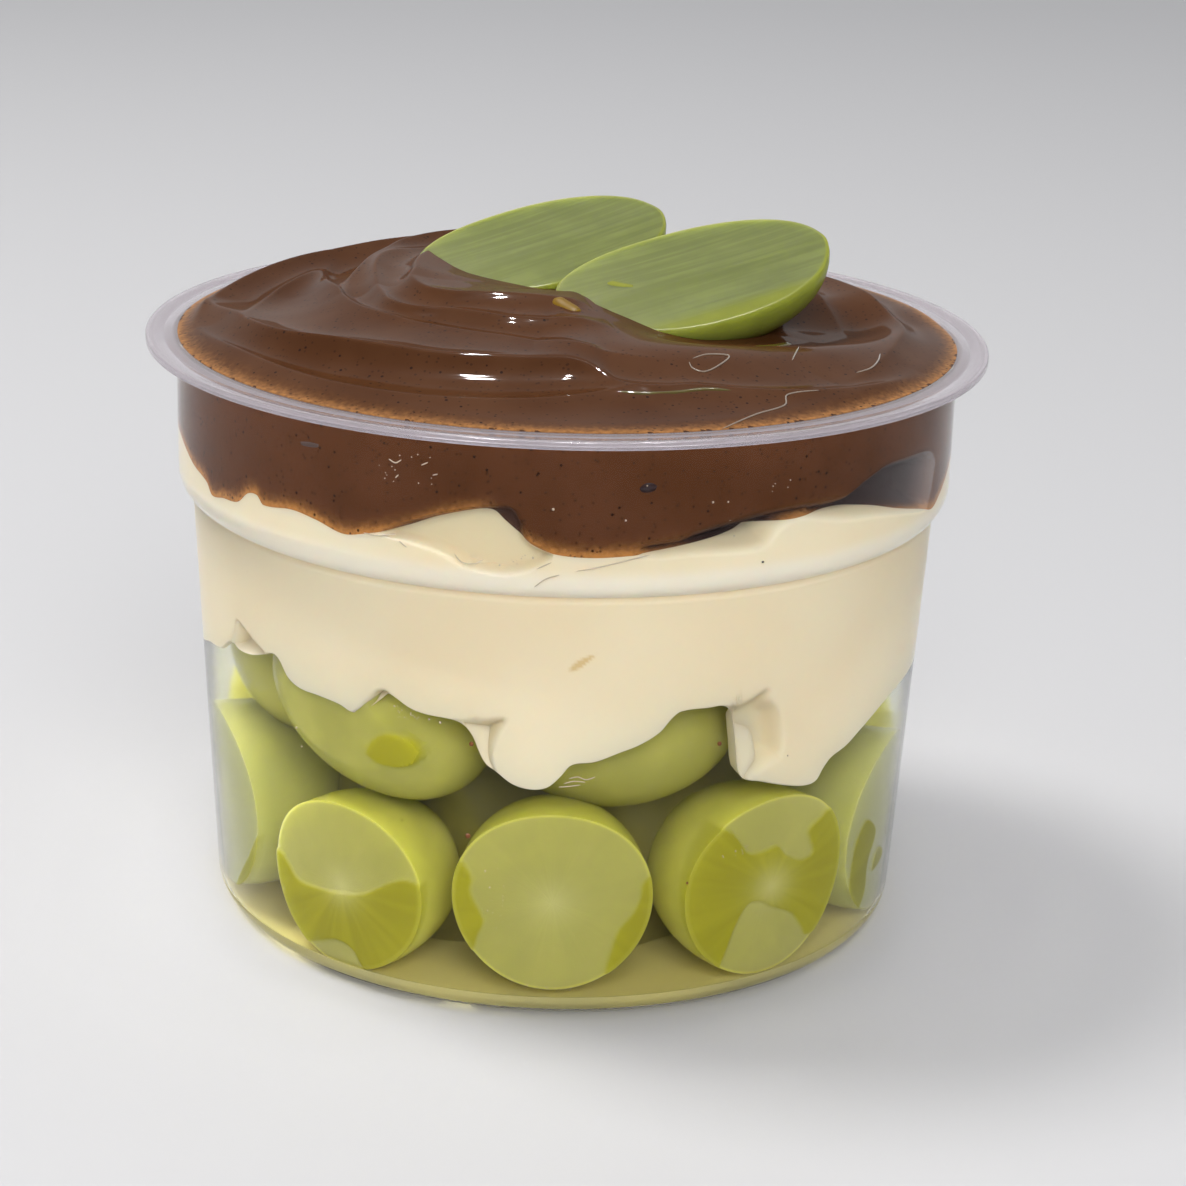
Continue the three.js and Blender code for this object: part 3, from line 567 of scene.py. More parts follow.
HEM = [
    (-102, 32.0), (-83, 30.6), (-72, 32.6), (-65, 33.6), (-61, 35.3), (-58.6, 35.0), (-54.6, 35.3),
    (-50.6, 36.2), (-48, 36.8), (-46.4, 36.4), (-44.6, 34.8), (-42, 34.0), (-38, 33.9), (-34, 33.6),
    (-31.8, 33.1), (-30, 33.6), (-28.6, 34.3), (-26.8, 35.4), (-25.6, 36.2), (-24.6, 36.0), (-22, 35.0),
    (-19.6, 34.6), (-15.4, 34.4), (-13.6, 33.9), (-12.3, 32.7), (-11.4, 31.1), (-10.4, 29.8),
    (-9, 29.1), (-6.4, 27.7), (-3.7, 27.2), (-1.2, 27.5), (0.6, 28.7), (2.2, 30.1), (5.7, 30.5),
    (9.3, 31.5), (12.2, 32.3), (15.1, 33.6), (16.8, 35.1), (18.2, 35.8), (22.5, 35.9), (25.4, 35.8),
    (26.6, 34.6), (27.5, 31.4), (28.2, 28.4), (29.4, 27.0), (32.3, 26.3), (37.2, 25.1), (41.7, 24.3),
    (43.9, 24.5), (45.1, 25.6), (46.8, 26.6), (50.5, 27.3), (54.4, 28.5), (60.6, 30.0), (67, 30.8),
    (83, 31.1), (96, 32.2),
]
# Nothing is known of the hem's back, so it goes on there in uneven waves
BACK_HEM = {"start": 96, "end": 258, "waves": 8.5, "level": 31.8, "swing": 3.2, "uneven": 9, "fade": 12}
POCKETS = {
    "hollow under the swirl": {"deep": 3.8, "close": 2.8, "outline": [
        (9.6, 54.4), (11.1, 55.4), (15.9, 55.9), (18.6, 56.6), (24.4, 57.5), (30.7, 58.0), (40.9, 57.9),
        (43.3, 58.2), (45.7, 58.9), (48.6, 59.6), (51.7, 60.1), (56.4, 60.0), (63.8, 59.4),
        (67.4, 57.7), (67, 55.5), (65.8, 53.3), (63.5, 52.2), (56.1, 53.2), (48.1, 54.2), (43.7, 54.6),
        (37.8, 55.4), (34.8, 55.9), (32.8, 55.9), (30.6, 55.1), (28.6, 53.5), (24.7, 53.2),
        (18.8, 53.4), (11.2, 53.3)]},
    "wet hump": {"deep": 1.5, "close": 0.9, "outline": [
        (-25.3, 54.6), (-22.3, 56.0), (-19.4, 56.9), (-16.6, 57.6), (-11.1, 58.7), (-8.4, 58.9),
        (-6.6, 58.8), (-5.3, 57.4), (-4.9, 56.2), (-4.2, 55.3), (-2.8, 54.7), (-1.2, 54.1),
        (-1.4, 53.3), (-2.9, 52.5), (-5.5, 51.7), (-8.2, 51.3), (-10.9, 51.5), (-13.3, 51.9),
        (-15.4, 52.8), (-17.9, 53.4), (-21.6, 53.9), (-24.1, 54.0)]},
    "back of the left lobe": {"deep": 2.4, "close": 1.4, "outline": [
        (-60.6, 35.3), (-59.0, 37.0), (-57.8, 38.6), (-55.4, 38.1), (-52.5, 37.2), (-50.2, 36.5),
        (-49.3, 35.6), (-51.2, 34.3), (-56.4, 33.4), (-61.7, 33.6)]},
    "notch": {"deep": 1.8, "close": 0.9, "outline": [
        (-31.8, 32.9), (-30.3, 34.0), (-28.9, 35.2), (-27.8, 36.2), (-26.6, 36.5), (-25.4, 36.4),
        (-25.6, 35.3), (-27.6, 33.2), (-30.0, 32.2)]},
    "behind the drip": {"deep": 2.2, "close": 1.8, "outline": [
        (-16, 34.3), (-13.4, 34.6), (-11.2, 34.8), (-9.0, 35.2), (-7.0, 35.3), (-7.1, 34.5),
        (-8.0, 33.4), (-8.7, 32.2), (-9.1, 30.9), (-9.0, 29.9), (-8.6, 28.8), (-10.5, 27.6),
        (-13.5, 30), (-15.6, 32.4)]},
    "beside the wide drip": {"deep": 2.0, "close": 2.2, "outline": [
        (25.2, 35.7), (28.4, 36.2), (30.4, 36.8), (31.7, 37.2), (32.8, 37.0), (33.5, 35.8),
        (34.8, 34.8), (35.6, 33.5), (36.2, 31.6), (36.6, 29.8), (36.0, 28.3), (33.6, 27.6),
        (30.6, 26.6), (27.0, 25.4), (24.0, 27.3), (23.4, 32)]},
}


def hem_height(angle):
    """Height of the cream's lower edge on the wall."""
    back = BACK_HEM
    share = (np.mod(angle, 360) - back["start"]) / (back["end"] - back["start"])
    turns = 2 * np.pi * back["waves"] * share + np.sin(back["uneven"] * share)
    wave = back["level"] + back["swing"] * np.sin(turns)
    at_back = smooth(share * back["fade"]) * smooth((1 - share) * back["fade"])
    return curve_round(HEM, angle) * (1 - at_back) + wave * at_back


def pocket_depth(angle, height):
    """How far a layer stands back from the wall."""
    depth = np.zeros(np.broadcast(angle, height).shape)
    arc_mm = math.radians(1) * INNER_RADIUS
    for pocket in POCKETS.values():
        outline = [(a * arc_mm, z) for a, z in pocket["outline"]]
        inside = depth_inside(outline, between(angle, 0) * arc_mm, height)
        depth = np.maximum(depth, pocket["deep"] * smooth(inside / pocket["close"]))
    return depth


print("hem drips down to", round(float(hem_height(np.arange(-90, 90.0)).min()), 1), "mm")

# %% [markdown]
# ## Chocolate swirl
# A spoon turned the soft chocolate into a spiral of terraces: each crest has a steep outer face and a
# gentle slope behind it. A dome carries them. Each crest is a curve of radius against angle, and every
# point of the top gets the heights of all crests that pass near it. Doing it by formula rather than by
# sculpting keeps the crests sharp at any mesh size.

# %% Height of the swirl
DOME = [
    (0, 72.5), (10, 72.1), (15, 71.4), (21, 70.3), (26, 69.4), (31, 68.1), (36, 67.4), (40, 67.1),
    (42.5, 67.0), (43.6, 66.9), (45, 66.5),
]
CALM_RIM = 2.2
CALM_MIDDLE = 6
CREST_ROUND = 0.3
# The two halves on top: where each lies and how it is turned, its half length, half width and depth,
# and how far its near edge sinks in
TOP_LEFT = {"middle": (-3.3, 12.5, 74.6), "turn": 35.2, "rise": 10.3, "roll": 5.2,
            "half": 15.8, "wide": 10.3, "deep": 9.4, "sink": 1.2}
TOP_RIGHT = {"middle": (13.8, -1.3, 74.8), "turn": 24.5, "rise": 11.6, "roll": 6.8,
             "half": 16.2, "wide": 10.4, "deep": 9.6, "sink": 2.6}
# The dip beside each: its depth, and how far it reaches as a share of the half's size
DIPS = [(TOP_LEFT, 1.6, 0.4), (TOP_RIGHT, 2.6, 0.5)]
DIP_MARGIN = 1
# Each ridge: the widths of its steep and gentle sides, then its crest as angle, radius and rise
SWIRL = [
    {"steep": 2.2, "gentle": 1.8, "crest": [
        (66, 42.8, 0), (53, 41.4, 0.6), (42, 39.7, 0.9), (31, 37.2, 1.0), (22, 35.0, 1.0),
        (12, 34.6, 0.9), (4, 35.2, 0.9), (-7, 37.3, 1.1), (-20, 39.2, 1.2), (-34, 39.9, 1.2),
        (-60, 40.4, 1.1), (-80, 41.8, 0.4), (-92, 43, 0)]},
    {"steep": 1.4, "gentle": 6.0, "crest": [
        (18, 36.5, 0), (9, 33.0, 0.8), (5, 30.8, 1.7), (-1, 29.6, 2.2), (-14, 30.2, 2.6),
        (-25, 31.3, 2.8), (-36, 32.6, 3.2), (-46, 34.5, 3.5), (-58, 36.4, 3.1), (-70, 37.2, 2.7),
        (-79, 37.8, 2.2), (-86, 39.2, 1.5), (-91, 40.6, 0.8), (-96, 42.4, 0)]},
    {"steep": 2.0, "gentle": 3.4, "crest": [
        (-80, 42.6, 0), (-88, 41.8, 0.6), (-98, 40.6, 1.6), (-113, 38.4, 2.6), (-126, 36.8, 3.0),
        (-140, 34.8, 3.3), (-156, 33.4, 2.8), (-176, 34.6, 1.6), (-196, 37, 0)]},
    {"steep": 1.3, "gentle": 1.3, "crest": [
        (-72, 36.8, 0), (-80, 35.9, 0.5), (-88, 34.9, 0.9), (-97, 34.0, 1.2), (-106, 33.0, 1.2),
        (-113, 32.7, 0.8), (-120, 33, 0)]},
    {"steep": 3.0, "gentle": 0.8, "crest": [
        (22, 29.4, 0), (7, 27.1, 0.4), (-2, 25.2, 0.5), (-17, 23.4, 0.6), (-38, 23.1, 0.6),
        (-49, 23.9, 0.7), (-62, 24.7, 0.9), (-78, 25.5, 1.2), (-88, 26.2, 1.4), (-96, 27.5, 1.5),
        (-107, 29.7, 1.3), (-117, 32.6, 0.7), (-128, 35.4, 0)]},
    {"steep": 1.6, "gentle": 5.0, "crest": [
        (-82, 24.4, 0), (-92, 25.0, 0.8), (-101, 25.4, 1.4), (-112, 25.8, 2.0), (-127, 27.6, 2.6),
        (-138, 29.9, 2.9), (-160, 31.5, 2.4), (-190, 34.5, 1.9), (-220, 36.6, 1.9), (-248, 36.9, 2.1),
        (-262, 37.6, 2.0), (-275, 37.8, 1.8), (-286, 37.6, 1.4), (-300, 38.2, 1.0), (-312, 38.6, 0)]},
    {"steep": 1.2, "gentle": 1.8, "crest": [
        (16, 17.4, 0), (4, 17.4, 0.6), (-8, 18.2, 1.1), (-20, 19.0, 1.3), (-30, 19.0, 1.4),
        (-42, 19.8, 1.5), (-50, 21.6, 1.7), (-60, 22.3, 1.8), (-74, 21.8, 1.7), (-92, 22.0, 1.6),
        (-106, 23.2, 1.5), (-120, 24.8, 1.1), (-134, 26.0, 0.5), (-150, 27.5, 0)]},
    {"steep": 1.4, "gentle": 5.0, "crest": [
        (14, 9.6, 0), (2, 10.4, 0.6), (-14, 11.0, 1.0), (-28, 11.9, 1.2), (-42, 13.6, 1.4),
        (-54, 15.8, 1.6), (-66, 17.4, 1.8), (-80, 17.9, 2.0), (-96, 17.5, 2.0), (-119, 19.4, 1.9),
        (-140, 22.0, 1.6), (-170, 25.0, 1.4), (-205, 27.5, 1.4), (-240, 29.5, 1.3), (-262, 31, 0.7),
        (-280, 32, 0)]},
    {"steep": 1.4, "gentle": 5.0, "crest": [
        (-150, 14, 0), (-170, 15, 0.7), (-200, 16.5, 1.0), (-230, 19.5, 1.0), (-262, 23, 0.5),
        (-280, 25, 0)]},
    {"steep": 4.0, "gentle": 8.0, "round": 3.0, "crest": [
        (104, 32, 0), (80, 32, 1.0), (60, 31, 1.5), (40, 30, 1.8), (20, 28.4, 1.8), (8, 26, 1.3),
        (-8, 24, 0)]},
]


def crest_passes(angle):
    """Each ridge on each of its turns, with the radius of its crest and its rise at every angle."""
    for ridge in SWIRL:
        path = [(-a, r) for a, r, _ in ridge["crest"]]
        rises = [(-a, rise) for a, _, rise in ridge["crest"]]
        for turn in (-360, 0, 360):
            along = turn - angle
            on = (along > path[0][0]) & (along < path[-1][0])
            if np.any(on):
                yield ridge, curve_through(path, along), np.maximum(curve_through(rises, along), 0) * on


def dip_depth(piece, deep, reach, x, y):
    """How far the chocolate dips beside a grape half that was pressed into it, on the near side."""
    turn = math.radians(piece["turn"])
    across, away = x - piece["middle"][0], y - piece["middle"][1]
    along = (across * math.cos(turn) + away * math.sin(turn)) / (piece["half"] + DIP_MARGIN)
    aside = (away * math.cos(turn) - across * math.sin(turn)) / (piece["wide"] + DIP_MARGIN)
    outside = np.maximum(0, np.hypot(along, aside) - 1)
    return deep * np.exp(-((outside / reach) ** 2)) * smooth(0.5 - 1.2 * aside) * smooth(1.1 + along)


def swirl_height(radius, angle):
    """Height of the chocolate's top: a dome that carries the ridges, with a dip beside each half."""
    radius, angle = np.broadcast_arrays(np.asarray(radius, float), np.asarray(angle, float))
    height = curve_through(DOME, radius)
    x, y = radius * np.sin(np.radians(angle)), -radius * np.cos(np.radians(angle))
    for piece, deep, reach in DIPS:
        height = height - dip_depth(piece, deep, reach, x, y)
    free = smooth((INNER_RADIUS - radius) / CALM_RIM) * smooth(radius / CALM_MIDDLE)
    for ridge, crest, rise in crest_passes(angle):
        inward = crest - radius
        width = np.where(inward < 0, ridge["steep"], ridge["gentle"])
        soft = ridge.get("round", CREST_ROUND)
        height = height + rise * free * np.exp((soft - np.hypot(inward, soft)) / width)
    return height


tops = swirl_height(np.arange(0, 40.0)[:, None], np.arange(0, 360.0)[None])
print("swirl rises to", round(float(tops.max()), 1), "mm")

# %% Chocolate finish
THIN_ORANGE = (0.50, 0.22, 0.06)
SPECK_BROWN = (0.012, 0.005, 0.003)
FINE_SPECK_BROWN = (0.022, 0.009, 0.004)
# Painted shade: the dark grey-brown the chocolate is painted where it stands back from the wall in a
# pocket
POCKET_SHADE_GREY = (0.046, 0.025, 0.022)


def chocolate_finish(name, dark, light, **gloss):
    """Chocolate with blotches and cocoa specks; orange where it thins out, painted shade, dark
    grey-brown, in the pockets.
    """
    finish = Finish(name, **{"Subsurface Weight": 0.05, "Subsurface Scale": 0.0015,
                             "Subsurface Radius": (1.0, 0.45, 0.25), "IOR": 1.42, **gloss})
    place = finish.place()
    blotch = finish.cloud(place, 0.09, 3.0).step(0.3, 0.7)
    grainy = finish.mark("thin") * (0.35 + 1.3 * finish.cloud(place, 1.6, 3.0))
    speck = finish.dots(place, 0.75).step(0.15, 0.09) * finish.cloud(place, 0.11).step(0.36, 0.5)
    fine = finish.dots(place, 1.3).step(0.24, 0.12) * finish.cloud(place, 0.23).step(0.3, 0.45)
    body = finish.blend(blotch, dark, light)
    body = finish.blend(grainy.step(0.1, 1.05), body, THIN_ORANGE)
    body = finish.blend(speck * 0.9, body, SPECK_BROWN)
    body = finish.blend(fine * 0.6, body, FINE_SPECK_BROWN)
    # Painted shade in the pockets, blended in as the layer stands back from the wall
    body = finish.blend(finish.mark("painted_shade_hollow"), body, POCKET_SHADE_GREY)
    finish.feed(Base_Color=body)
    return finish.material


chocolate_top = chocolate_finish(
    "chocolate_cream_glossy", (0.062, 0.0215, 0.0065), (0.080, 0.031, 0.0115),
    **{"Roughness": 0.4, "Specular IOR Level": 0.01, "Coat Weight": 0.28, "Coat Roughness": 0.05})
chocolate_side = chocolate_finish(
    "chocolate_cream_on_the_wall", (0.086, 0.030, 0.010), (0.110, 0.041, 0.017),
    **{"Roughness": 0.6, "Specular IOR Level": 0.05})

# %% Chocolate swirl
FRONT_STEP = 0.4
BACK_STEP = 1.0
FRONT_HALF = 80.0
SEAM_LEVEL = 56.0
SEAM_INNER_RADIUS = 35.5
CHOCOLATE_RIM = 43.95
SIDE_ROWS = 34
TOP_ROWS = 112
CREST_CROWD = 2.4
CREST_REACH = 0.7
# Where the layer thins out, at its lower edge and at its rim: strength, reach and steepness of a fade
EDGE_FADES = [(0.5, 1.7, 1.2), (0.5, 0.7, 1.5)]
RIM_FADE = (0.62, 1.7, 1.1)
FAR = 9.0
# How far the layer stands back where its painted pocket shade is full
POCKET_SHADE_DEPTH = 2.4

layer_angles = np.concatenate([np.arange(-FRONT_HALF, FRONT_HALF, FRONT_STEP),
                               np.arange(FRONT_HALF, 360 - FRONT_HALF, BACK_STEP)])[None]
columns = layer_angles.shape[1]
seam = curve_round(SEAM, layer_angles)


def top_rings():
    """Rings of the top, closer together near each crest, so that the crests stay crisp."""
    fine = np.arange(1.2, 43.2, 0.05)[:, None]
    crowd = np.ones((len(fine), columns))
    for _, crest, rise in crest_passes(layer_angles):
        crowd += CREST_CROWD * clamp(rise) * np.exp(-((fine - crest) / CREST_REACH) ** 2)
    shares = np.cumsum(crowd, axis=0) / crowd.sum(axis=0)
    even = np.linspace(shares[0].max(), 1, TOP_ROWS)
    inner = np.stack([np.interp(even, share, fine[:, 0]) for share in shares.T], axis=1)
    rim = np.array([43.45, 43.7, CHOCOLATE_RIM])[:, None] + 0 * layer_angles
    radius = np.concatenate([inner, rim])
    height = swirl_height(radius, layer_angles)
    return spots(radius, layer_angles, height), height


def fade(distance, strength, reach, steepness):
    return strength * np.exp(-((distance / reach) ** steepness))


def chocolate_rings():
    top, height = top_rings()
    down = np.linspace(0, 1, SIDE_ROWS)[:, None]
    z = (FLANGE_TOP - 0.35) * (1 - down) + seam * down
    depth = pocket_depth(layer_angles, z)
    side = spots(inside_radius(z) + INTO_WALL - depth, layer_angles, z)
    under = spots(SEAM_INNER_RADIUS, layer_angles, seam * 0.3 + SEAM_LEVEL * 0.7)
    below = np.zeros(under.shape[:2])
    above_seam = np.concatenate([np.full(height.shape, FAR), z - seam, below + FAR])
    rim = CHOCOLATE_RIM - np.linalg.norm(top[..., :2], axis=-1)
    from_rim = np.concatenate([rim, np.full(z.shape, FAR), below + FAR])
    # Painted shade: 0 where the layer lies on the wall, 1 where it stands back the full depth; no orange
    # edge there
    painted_shade_hollow = np.concatenate([0 * height, smooth(depth / POCKET_SHADE_DEPTH), below])
    fringe = sum(fade(above_seam, *edge) for edge in EDGE_FADES)
    thin = np.maximum(fringe, fade(from_rim, *RIM_FADE)) * (1 - painted_shade_hollow)
    return np.concatenate([top, side, under]), {"thin": thin, "painted_shade_hollow": painted_shade_hollow}


rings, swirl_marks = chocolate_rings()
swirl_slots = [0] * (len(rings) - SIDE_ROWS - 1) + [1] * SIDE_ROWS
swirl = lay_skin("chocolate_swirl_skin", rings, [chocolate_top, chocolate_side],
                 (0, 0, swirl_height(0.0, 0.0)), (0, 0, SEAM_LEVEL), swirl_marks, swirl_slots)
settle(swirl, "chocolate_cream", "chocolate_swirl")

# %% [markdown]
# ## White cream
# The cream was poured over the grapes and ran down the wall in drips. It lies flat against the plastic,
# so its face is the wall's own shape, and its lower lip rolls back from the wall. Light goes a few
# millimetres into it, which is what subsurface scattering is for: it softens the shading and warms it.

# %% Cream finish
def cream_finish():
    finish = Finish("white_cream", **{"Subsurface Weight": 0.35, "Subsurface Scale": 0.004,
                                      "Subsurface Radius": (1.0, 0.7, 0.4), "Roughness": 0.5,
                                      "Specular IOR Level": 0.1})
    place = finish.place()
    soft = finish.cloud(place, 0.05, 2.0).step(0.3, 0.7)
    body = finish.blend(soft, (0.90, 0.77, 0.53), (0.92, 0.81, 0.58))
    # Painted haze: a paler band on the cream under the collar, for the pale veil of the frosted wall
    # there
    body = finish.blend(finish.mark("band"), body, (0.93, 0.85, 0.69))
    speck = finish.dots(place, 0.35).step(0.035, 0.02) * finish.cloud(place, 0.13).step(0.5, 0.6)
    body = finish.blend(speck * 0.5, body, (0.5, 0.38, 0.2))
    # Painted shade: the cream is painted a darker tan, at half strength, where it stands back from the
    # wall in a pocket
    body = finish.blend(finish.mark("painted_shade_hollow") * 0.5, body, (0.70, 0.58, 0.33))
    body = finish.blend(finish.mark("smear"), body, (0.76, 0.58, 0.29))
    finish.feed(Base_Color=body, Normal=finish.relief(finish.cloud(place, 0.35, 2.0), 0.06))
    return finish.material


cream = cream_finish()

# %% White cream
CREAM_FLOOR = 37.0
CREAM_INNER_RADIUS = 33.0
# The cream lies a hair behind the chocolate in the wall, so that the two never share a face
BEHIND_CHOCOLATE = 0.02
BAND_TOP = 51.9
BAND_FOOT = 47.6
# How softly the painted haze of the collar band fades out at its top
BAND_BLUR = 1.8
# The lip rolls back from the wall: how far back, how far up, and its share of the way to the lip's
# upper line, which keeps the highest hem within a few degrees, so that each drip is thin at its sides
LIP_ROLL = [(0.25, -0.18, 0), (0.7, -0.1, 0.15), (1.4, 0.3, 0.5), (2.6, 1.2, 0.9), (5.0, 2.4, 1)]
LIP_SPREAD = 5
# A small tan smear on the cream's wall face: angle and height of its middle, its slant and half sizes
SMEAR_PLACE = (3.3, 41.7)
SMEAR_SLANT = 0.62
SMEAR_HALF = (1.6, 0.55)
SMEAR_TAPER = 0.2


def smear_share(height):
    across = np.radians(layer_angles - SMEAR_PLACE[0]) * SHOULDER_RADIUS
    along = across / SMEAR_HALF[0]
    off = ((height - SMEAR_PLACE[1]) - SMEAR_SLANT * across) / (SMEAR_HALF[1] - SMEAR_TAPER * along)
    return smooth((1 - np.hypot(along, off)) / 0.4)


def cream_rings():
    hem = hem_height(layer_angles)
    cover = spots(SEAM_INNER_RADIUS, layer_angles, seam * 0.3 + SEAM_LEVEL * 0.7)
    stages = [(seam, BAND_TOP, 18), (BAND_TOP, BAND_FOOT, 22), (BAND_FOOT, hem, 64)]
    z = np.concatenate([np.linspace(0, 1, rows, endpoint=below is hem)[:, None] * (below - above) + above
                        + 0 * layer_angles for above, below, rows in stages])
    depth = pocket_depth(layer_angles, z)
    face = spots(inside_radius(z) + INTO_WALL - BEHIND_CHOCOLATE - depth, layer_angles, z)
    steps = range(-LIP_SPREAD, LIP_SPREAD + 1)
    upper = np.max([hem_height(layer_angles + step) for step in steps], axis=0)
    lip = []
    for back, drop, share in LIP_ROLL:
        lip_height = np.minimum(hem + drop + share * (upper - hem), CREAM_FLOOR + 2)
        lip.append(spots(inside_radius(hem) - back, layer_angles, lip_height))
    under = spots(CREAM_INNER_RADIUS, layer_angles, np.maximum(hem + 3.0, CREAM_FLOOR))
    off_face = np.zeros((len(lip) + 1, columns))
    # Painted haze: 1 on the band from the crease up to the collar's foot
    painted_haze_band = smooth((z - CREASE_HEIGHT) / 0.3 + 0.5) * smooth((COLLAR_FOOT - z) / BAND_BLUR + 0.5)
    # Painted shade in the pockets, full where the cream stands back 1.2 mm
    marks = {"painted_shade_hollow": smooth(depth / 1.2), "band": painted_haze_band, "smear": smear_share(z)}
    marks = {name: np.concatenate([0 * seam, share, off_face]) for name, share in marks.items()}
    return np.concatenate([cover, face, *lip, under]), marks


pour_rings, pour_marks = cream_rings()
pour = lay_skin("white_cream_pour", pour_rings, [cream],
                (0, 0, SEAM_LEVEL), (0, 0, CREAM_FLOOR), pour_marks)
settle(pour, "white_cream", "white_cream")

# %% [markdown]
# ## Grapes
# Green grapes are half clear: light goes in through the skin and comes out yellow-green, so the finish
# has deep subsurface scattering. Where a grape touches the frosted wall with juice between them, the
# frost vanishes and it shows dark and bright green. Such a patch is pushed out until it reaches just
# into the wall. The rest of the cut face stays flat behind it.

# %% Grape finish
# Painted light: the bright yellow the skin turns towards the back of a half, for light shining through a
# grape in shade
PAINTED_GLOW_TINT = (0.88, 0.86, 0.20)
CORE_TINT = (0.62, 0.59, 0.22)
SPOT_TINT = (0.16, 0.07, 0.02)
# Painted grey tints, where the flesh is dry and where it is wet: painted shade on a grape seen at a slant
# through the frosted wall, painted sheen on the halves on top
SHEEN_AND_SHADE_DRY = (0.29, 0.31, 0.13)
SHEEN_AND_SHADE_WET = (0.11, 0.125, 0.03)


def shaded(tint, by):
    return [c * by for c in tint]


def grape_finish(name, flesh_place, flesh_scale, wet_tint, dry_tint, skin_tint, gloss, streaks, rim):
    """Skin and flesh of a cut grape, with streaks in its dry and its wet flesh of these strengths."""
    finish = Finish(name, **{"Subsurface Weight": 0.75, "Subsurface Scale": 0.009,
                             "Subsurface Radius": (0.9, 1.0, 0.25), "IOR": 1.36,
                             "Specular IOR Level": gloss})
    place = finish.place()
    cut = finish.mark("cut")
    wet = finish.mark("wet")
    streak = finish.cloud(finish.mark_place(flesh_place, flesh_scale), 1.0, 3.0).step(0.36, 0.66)
    bloom = finish.cloud(place, 0.22, 3.0).step(0.3, 0.7)
    dry_flesh = finish.blend(streak, dry_tint, shaded(dry_tint, 1 + streaks[0]))
    dry_flesh = finish.blend(bloom * 0.5, dry_flesh, shaded(dry_tint, 0.85))
    wet_flesh = finish.blend(streak, wet_tint, shaded(wet_tint, 1 + streaks[1]))
    flesh = finish.blend(wet, dry_flesh, wet_flesh)
    flesh = finish.blend(finish.mark("core"), flesh, CORE_TINT)
    mottle = finish.cloud(place, 0.16, 3.0).step(0.35, 0.7)
    skin = finish.blend(mottle, skin_tint, shaded(skin_tint, 1.18))
    # Painted glow towards the back of the body
    skin = finish.blend(finish.mark("deep"), skin, PAINTED_GLOW_TINT)
    skin = finish.blend(wet, skin, wet_tint)
    skin = finish.blend(finish.dots(place, 0.16).step(0.06, 0.035) * 0.8, skin, SPOT_TINT)
    body = finish.blend(cut, skin, flesh)
    body = finish.blend(finish.mark("rim") * rim, body, shaded(skin_tint, 1.25))
    # The painted grey tint: painted shade on the halves at the edges of the view, painted sheen on the
    # halves on top
    aside = finish.blend(wet, SHEEN_AND_SHADE_DRY, SHEEN_AND_SHADE_WET)
    body = finish.blend(finish.mark("aside") * (1 - 0.4 * wet), body, aside)
    finish.feed(Base_Color=body, Roughness=0.22 + 0.16 * cut, Normal=finish.relief(streak * cut, 0.012))
    return finish.material


cross_cut = grape_finish(
    "grape_cut_across", "ray", (4, 4, 0.5), wet_tint=(0.37, 0.345, 0.022), dry_tint=(0.49, 0.465, 0.115),
    skin_tint=(0.60, 0.575, 0.10), gloss=0.25, streaks=(0.04, 0.14), rim=0.25)
whole_skin = grape_finish(
    "grape_whole", "ray", (0.05, 0.3, 0.3), wet_tint=(0.42, 0.39, 0.020), dry_tint=(0.40, 0.39, 0.08),
    skin_tint=(0.43, 0.41, 0.088), gloss=0.3, streaks=(0.1, 0.1), rim=0.0)
long_cut = grape_finish(
    "grape_cut_lengthwise", "face", (0.045, 0.9, 0.3), wet_tint=(0.30, 0.28, 0.02),
    dry_tint=(0.118, 0.138, 0.040), skin_tint=(0.190, 0.210, 0.028), gloss=0.12, streaks=(0.42, 0.2),
    rim=0.1)

# %% Half a grape
HALF_COLUMNS = 200
FACE_ROWS = 44
BODY_ROWS = 20
RIM_ROUND = 0.35
# Shares of the way out over a half: up to 1 on its cut face, then on its rim and on its body
FACE_EDGE = 0.97
ON_RIM = 1.0
ON_BODY = 2.0


def half_grape(half, wide, deep, power=2.0):
    """A cut half in its own frame: the face looks up at z = 0, the long axis runs along x. Returns its
    rings, and for each point its share of the way out over the face and its angle on it."""
    turn = 2 * np.pi * np.arange(HALF_COLUMNS) / HALF_COLUMNS
    c, s = np.cos(turn), np.sin(turn)
    edge = (np.abs(c) ** power + np.abs(s) ** power) ** (-1 / power)
    x, y = edge * c, edge * s
    curl = RIM_ROUND / wide
    rows = [((1 - curl) * t, 0.0, t * FACE_EDGE) for t in np.linspace(0.03, 1, FACE_ROWS)]
    for a in np.radians([30, 60]):
        rows.append((1 - curl * (1 - np.sin(a)), -RIM_ROUND * (1 - np.cos(a)), ON_RIM))
    for a in np.linspace(0.02, 1, BODY_ROWS) * np.pi / 2 * 0.97:
        rows.append((np.cos(a) ** 0.92, -RIM_ROUND - (deep - RIM_ROUND) * np.sin(a), ON_BODY))
    out, height, share = np.array(rows).T[..., None]
    rings = np.stack([out * half * x, out * wide * y, height + 0 * x], axis=-1)
    return rings, share + 0 * x, turn + 0 * share


def rim_share(share):
    """1 at the rim of a cut face, 0 elsewhere."""
    return smooth((np.clip(share, 0, 1) - 0.955) / 0.03) * (share <= ON_RIM)


print("a half grape has", half_grape(10, 10, 14)[0].shape[:2], "rings and columns")

# %% Halves of the lower row
HALF_DEPTH = 14.0
FACE_BULGE = 0.97
FACE_GAP = 0.1
EDGE_GAP = 0.05
# The two halves at the edges of the view look paler through the wall; they get painted shade, a greyer,
# darker tint
SLANT_SHADE_SHARE = 0.5
SLANT_SHADED_HALVES = (70, 289)
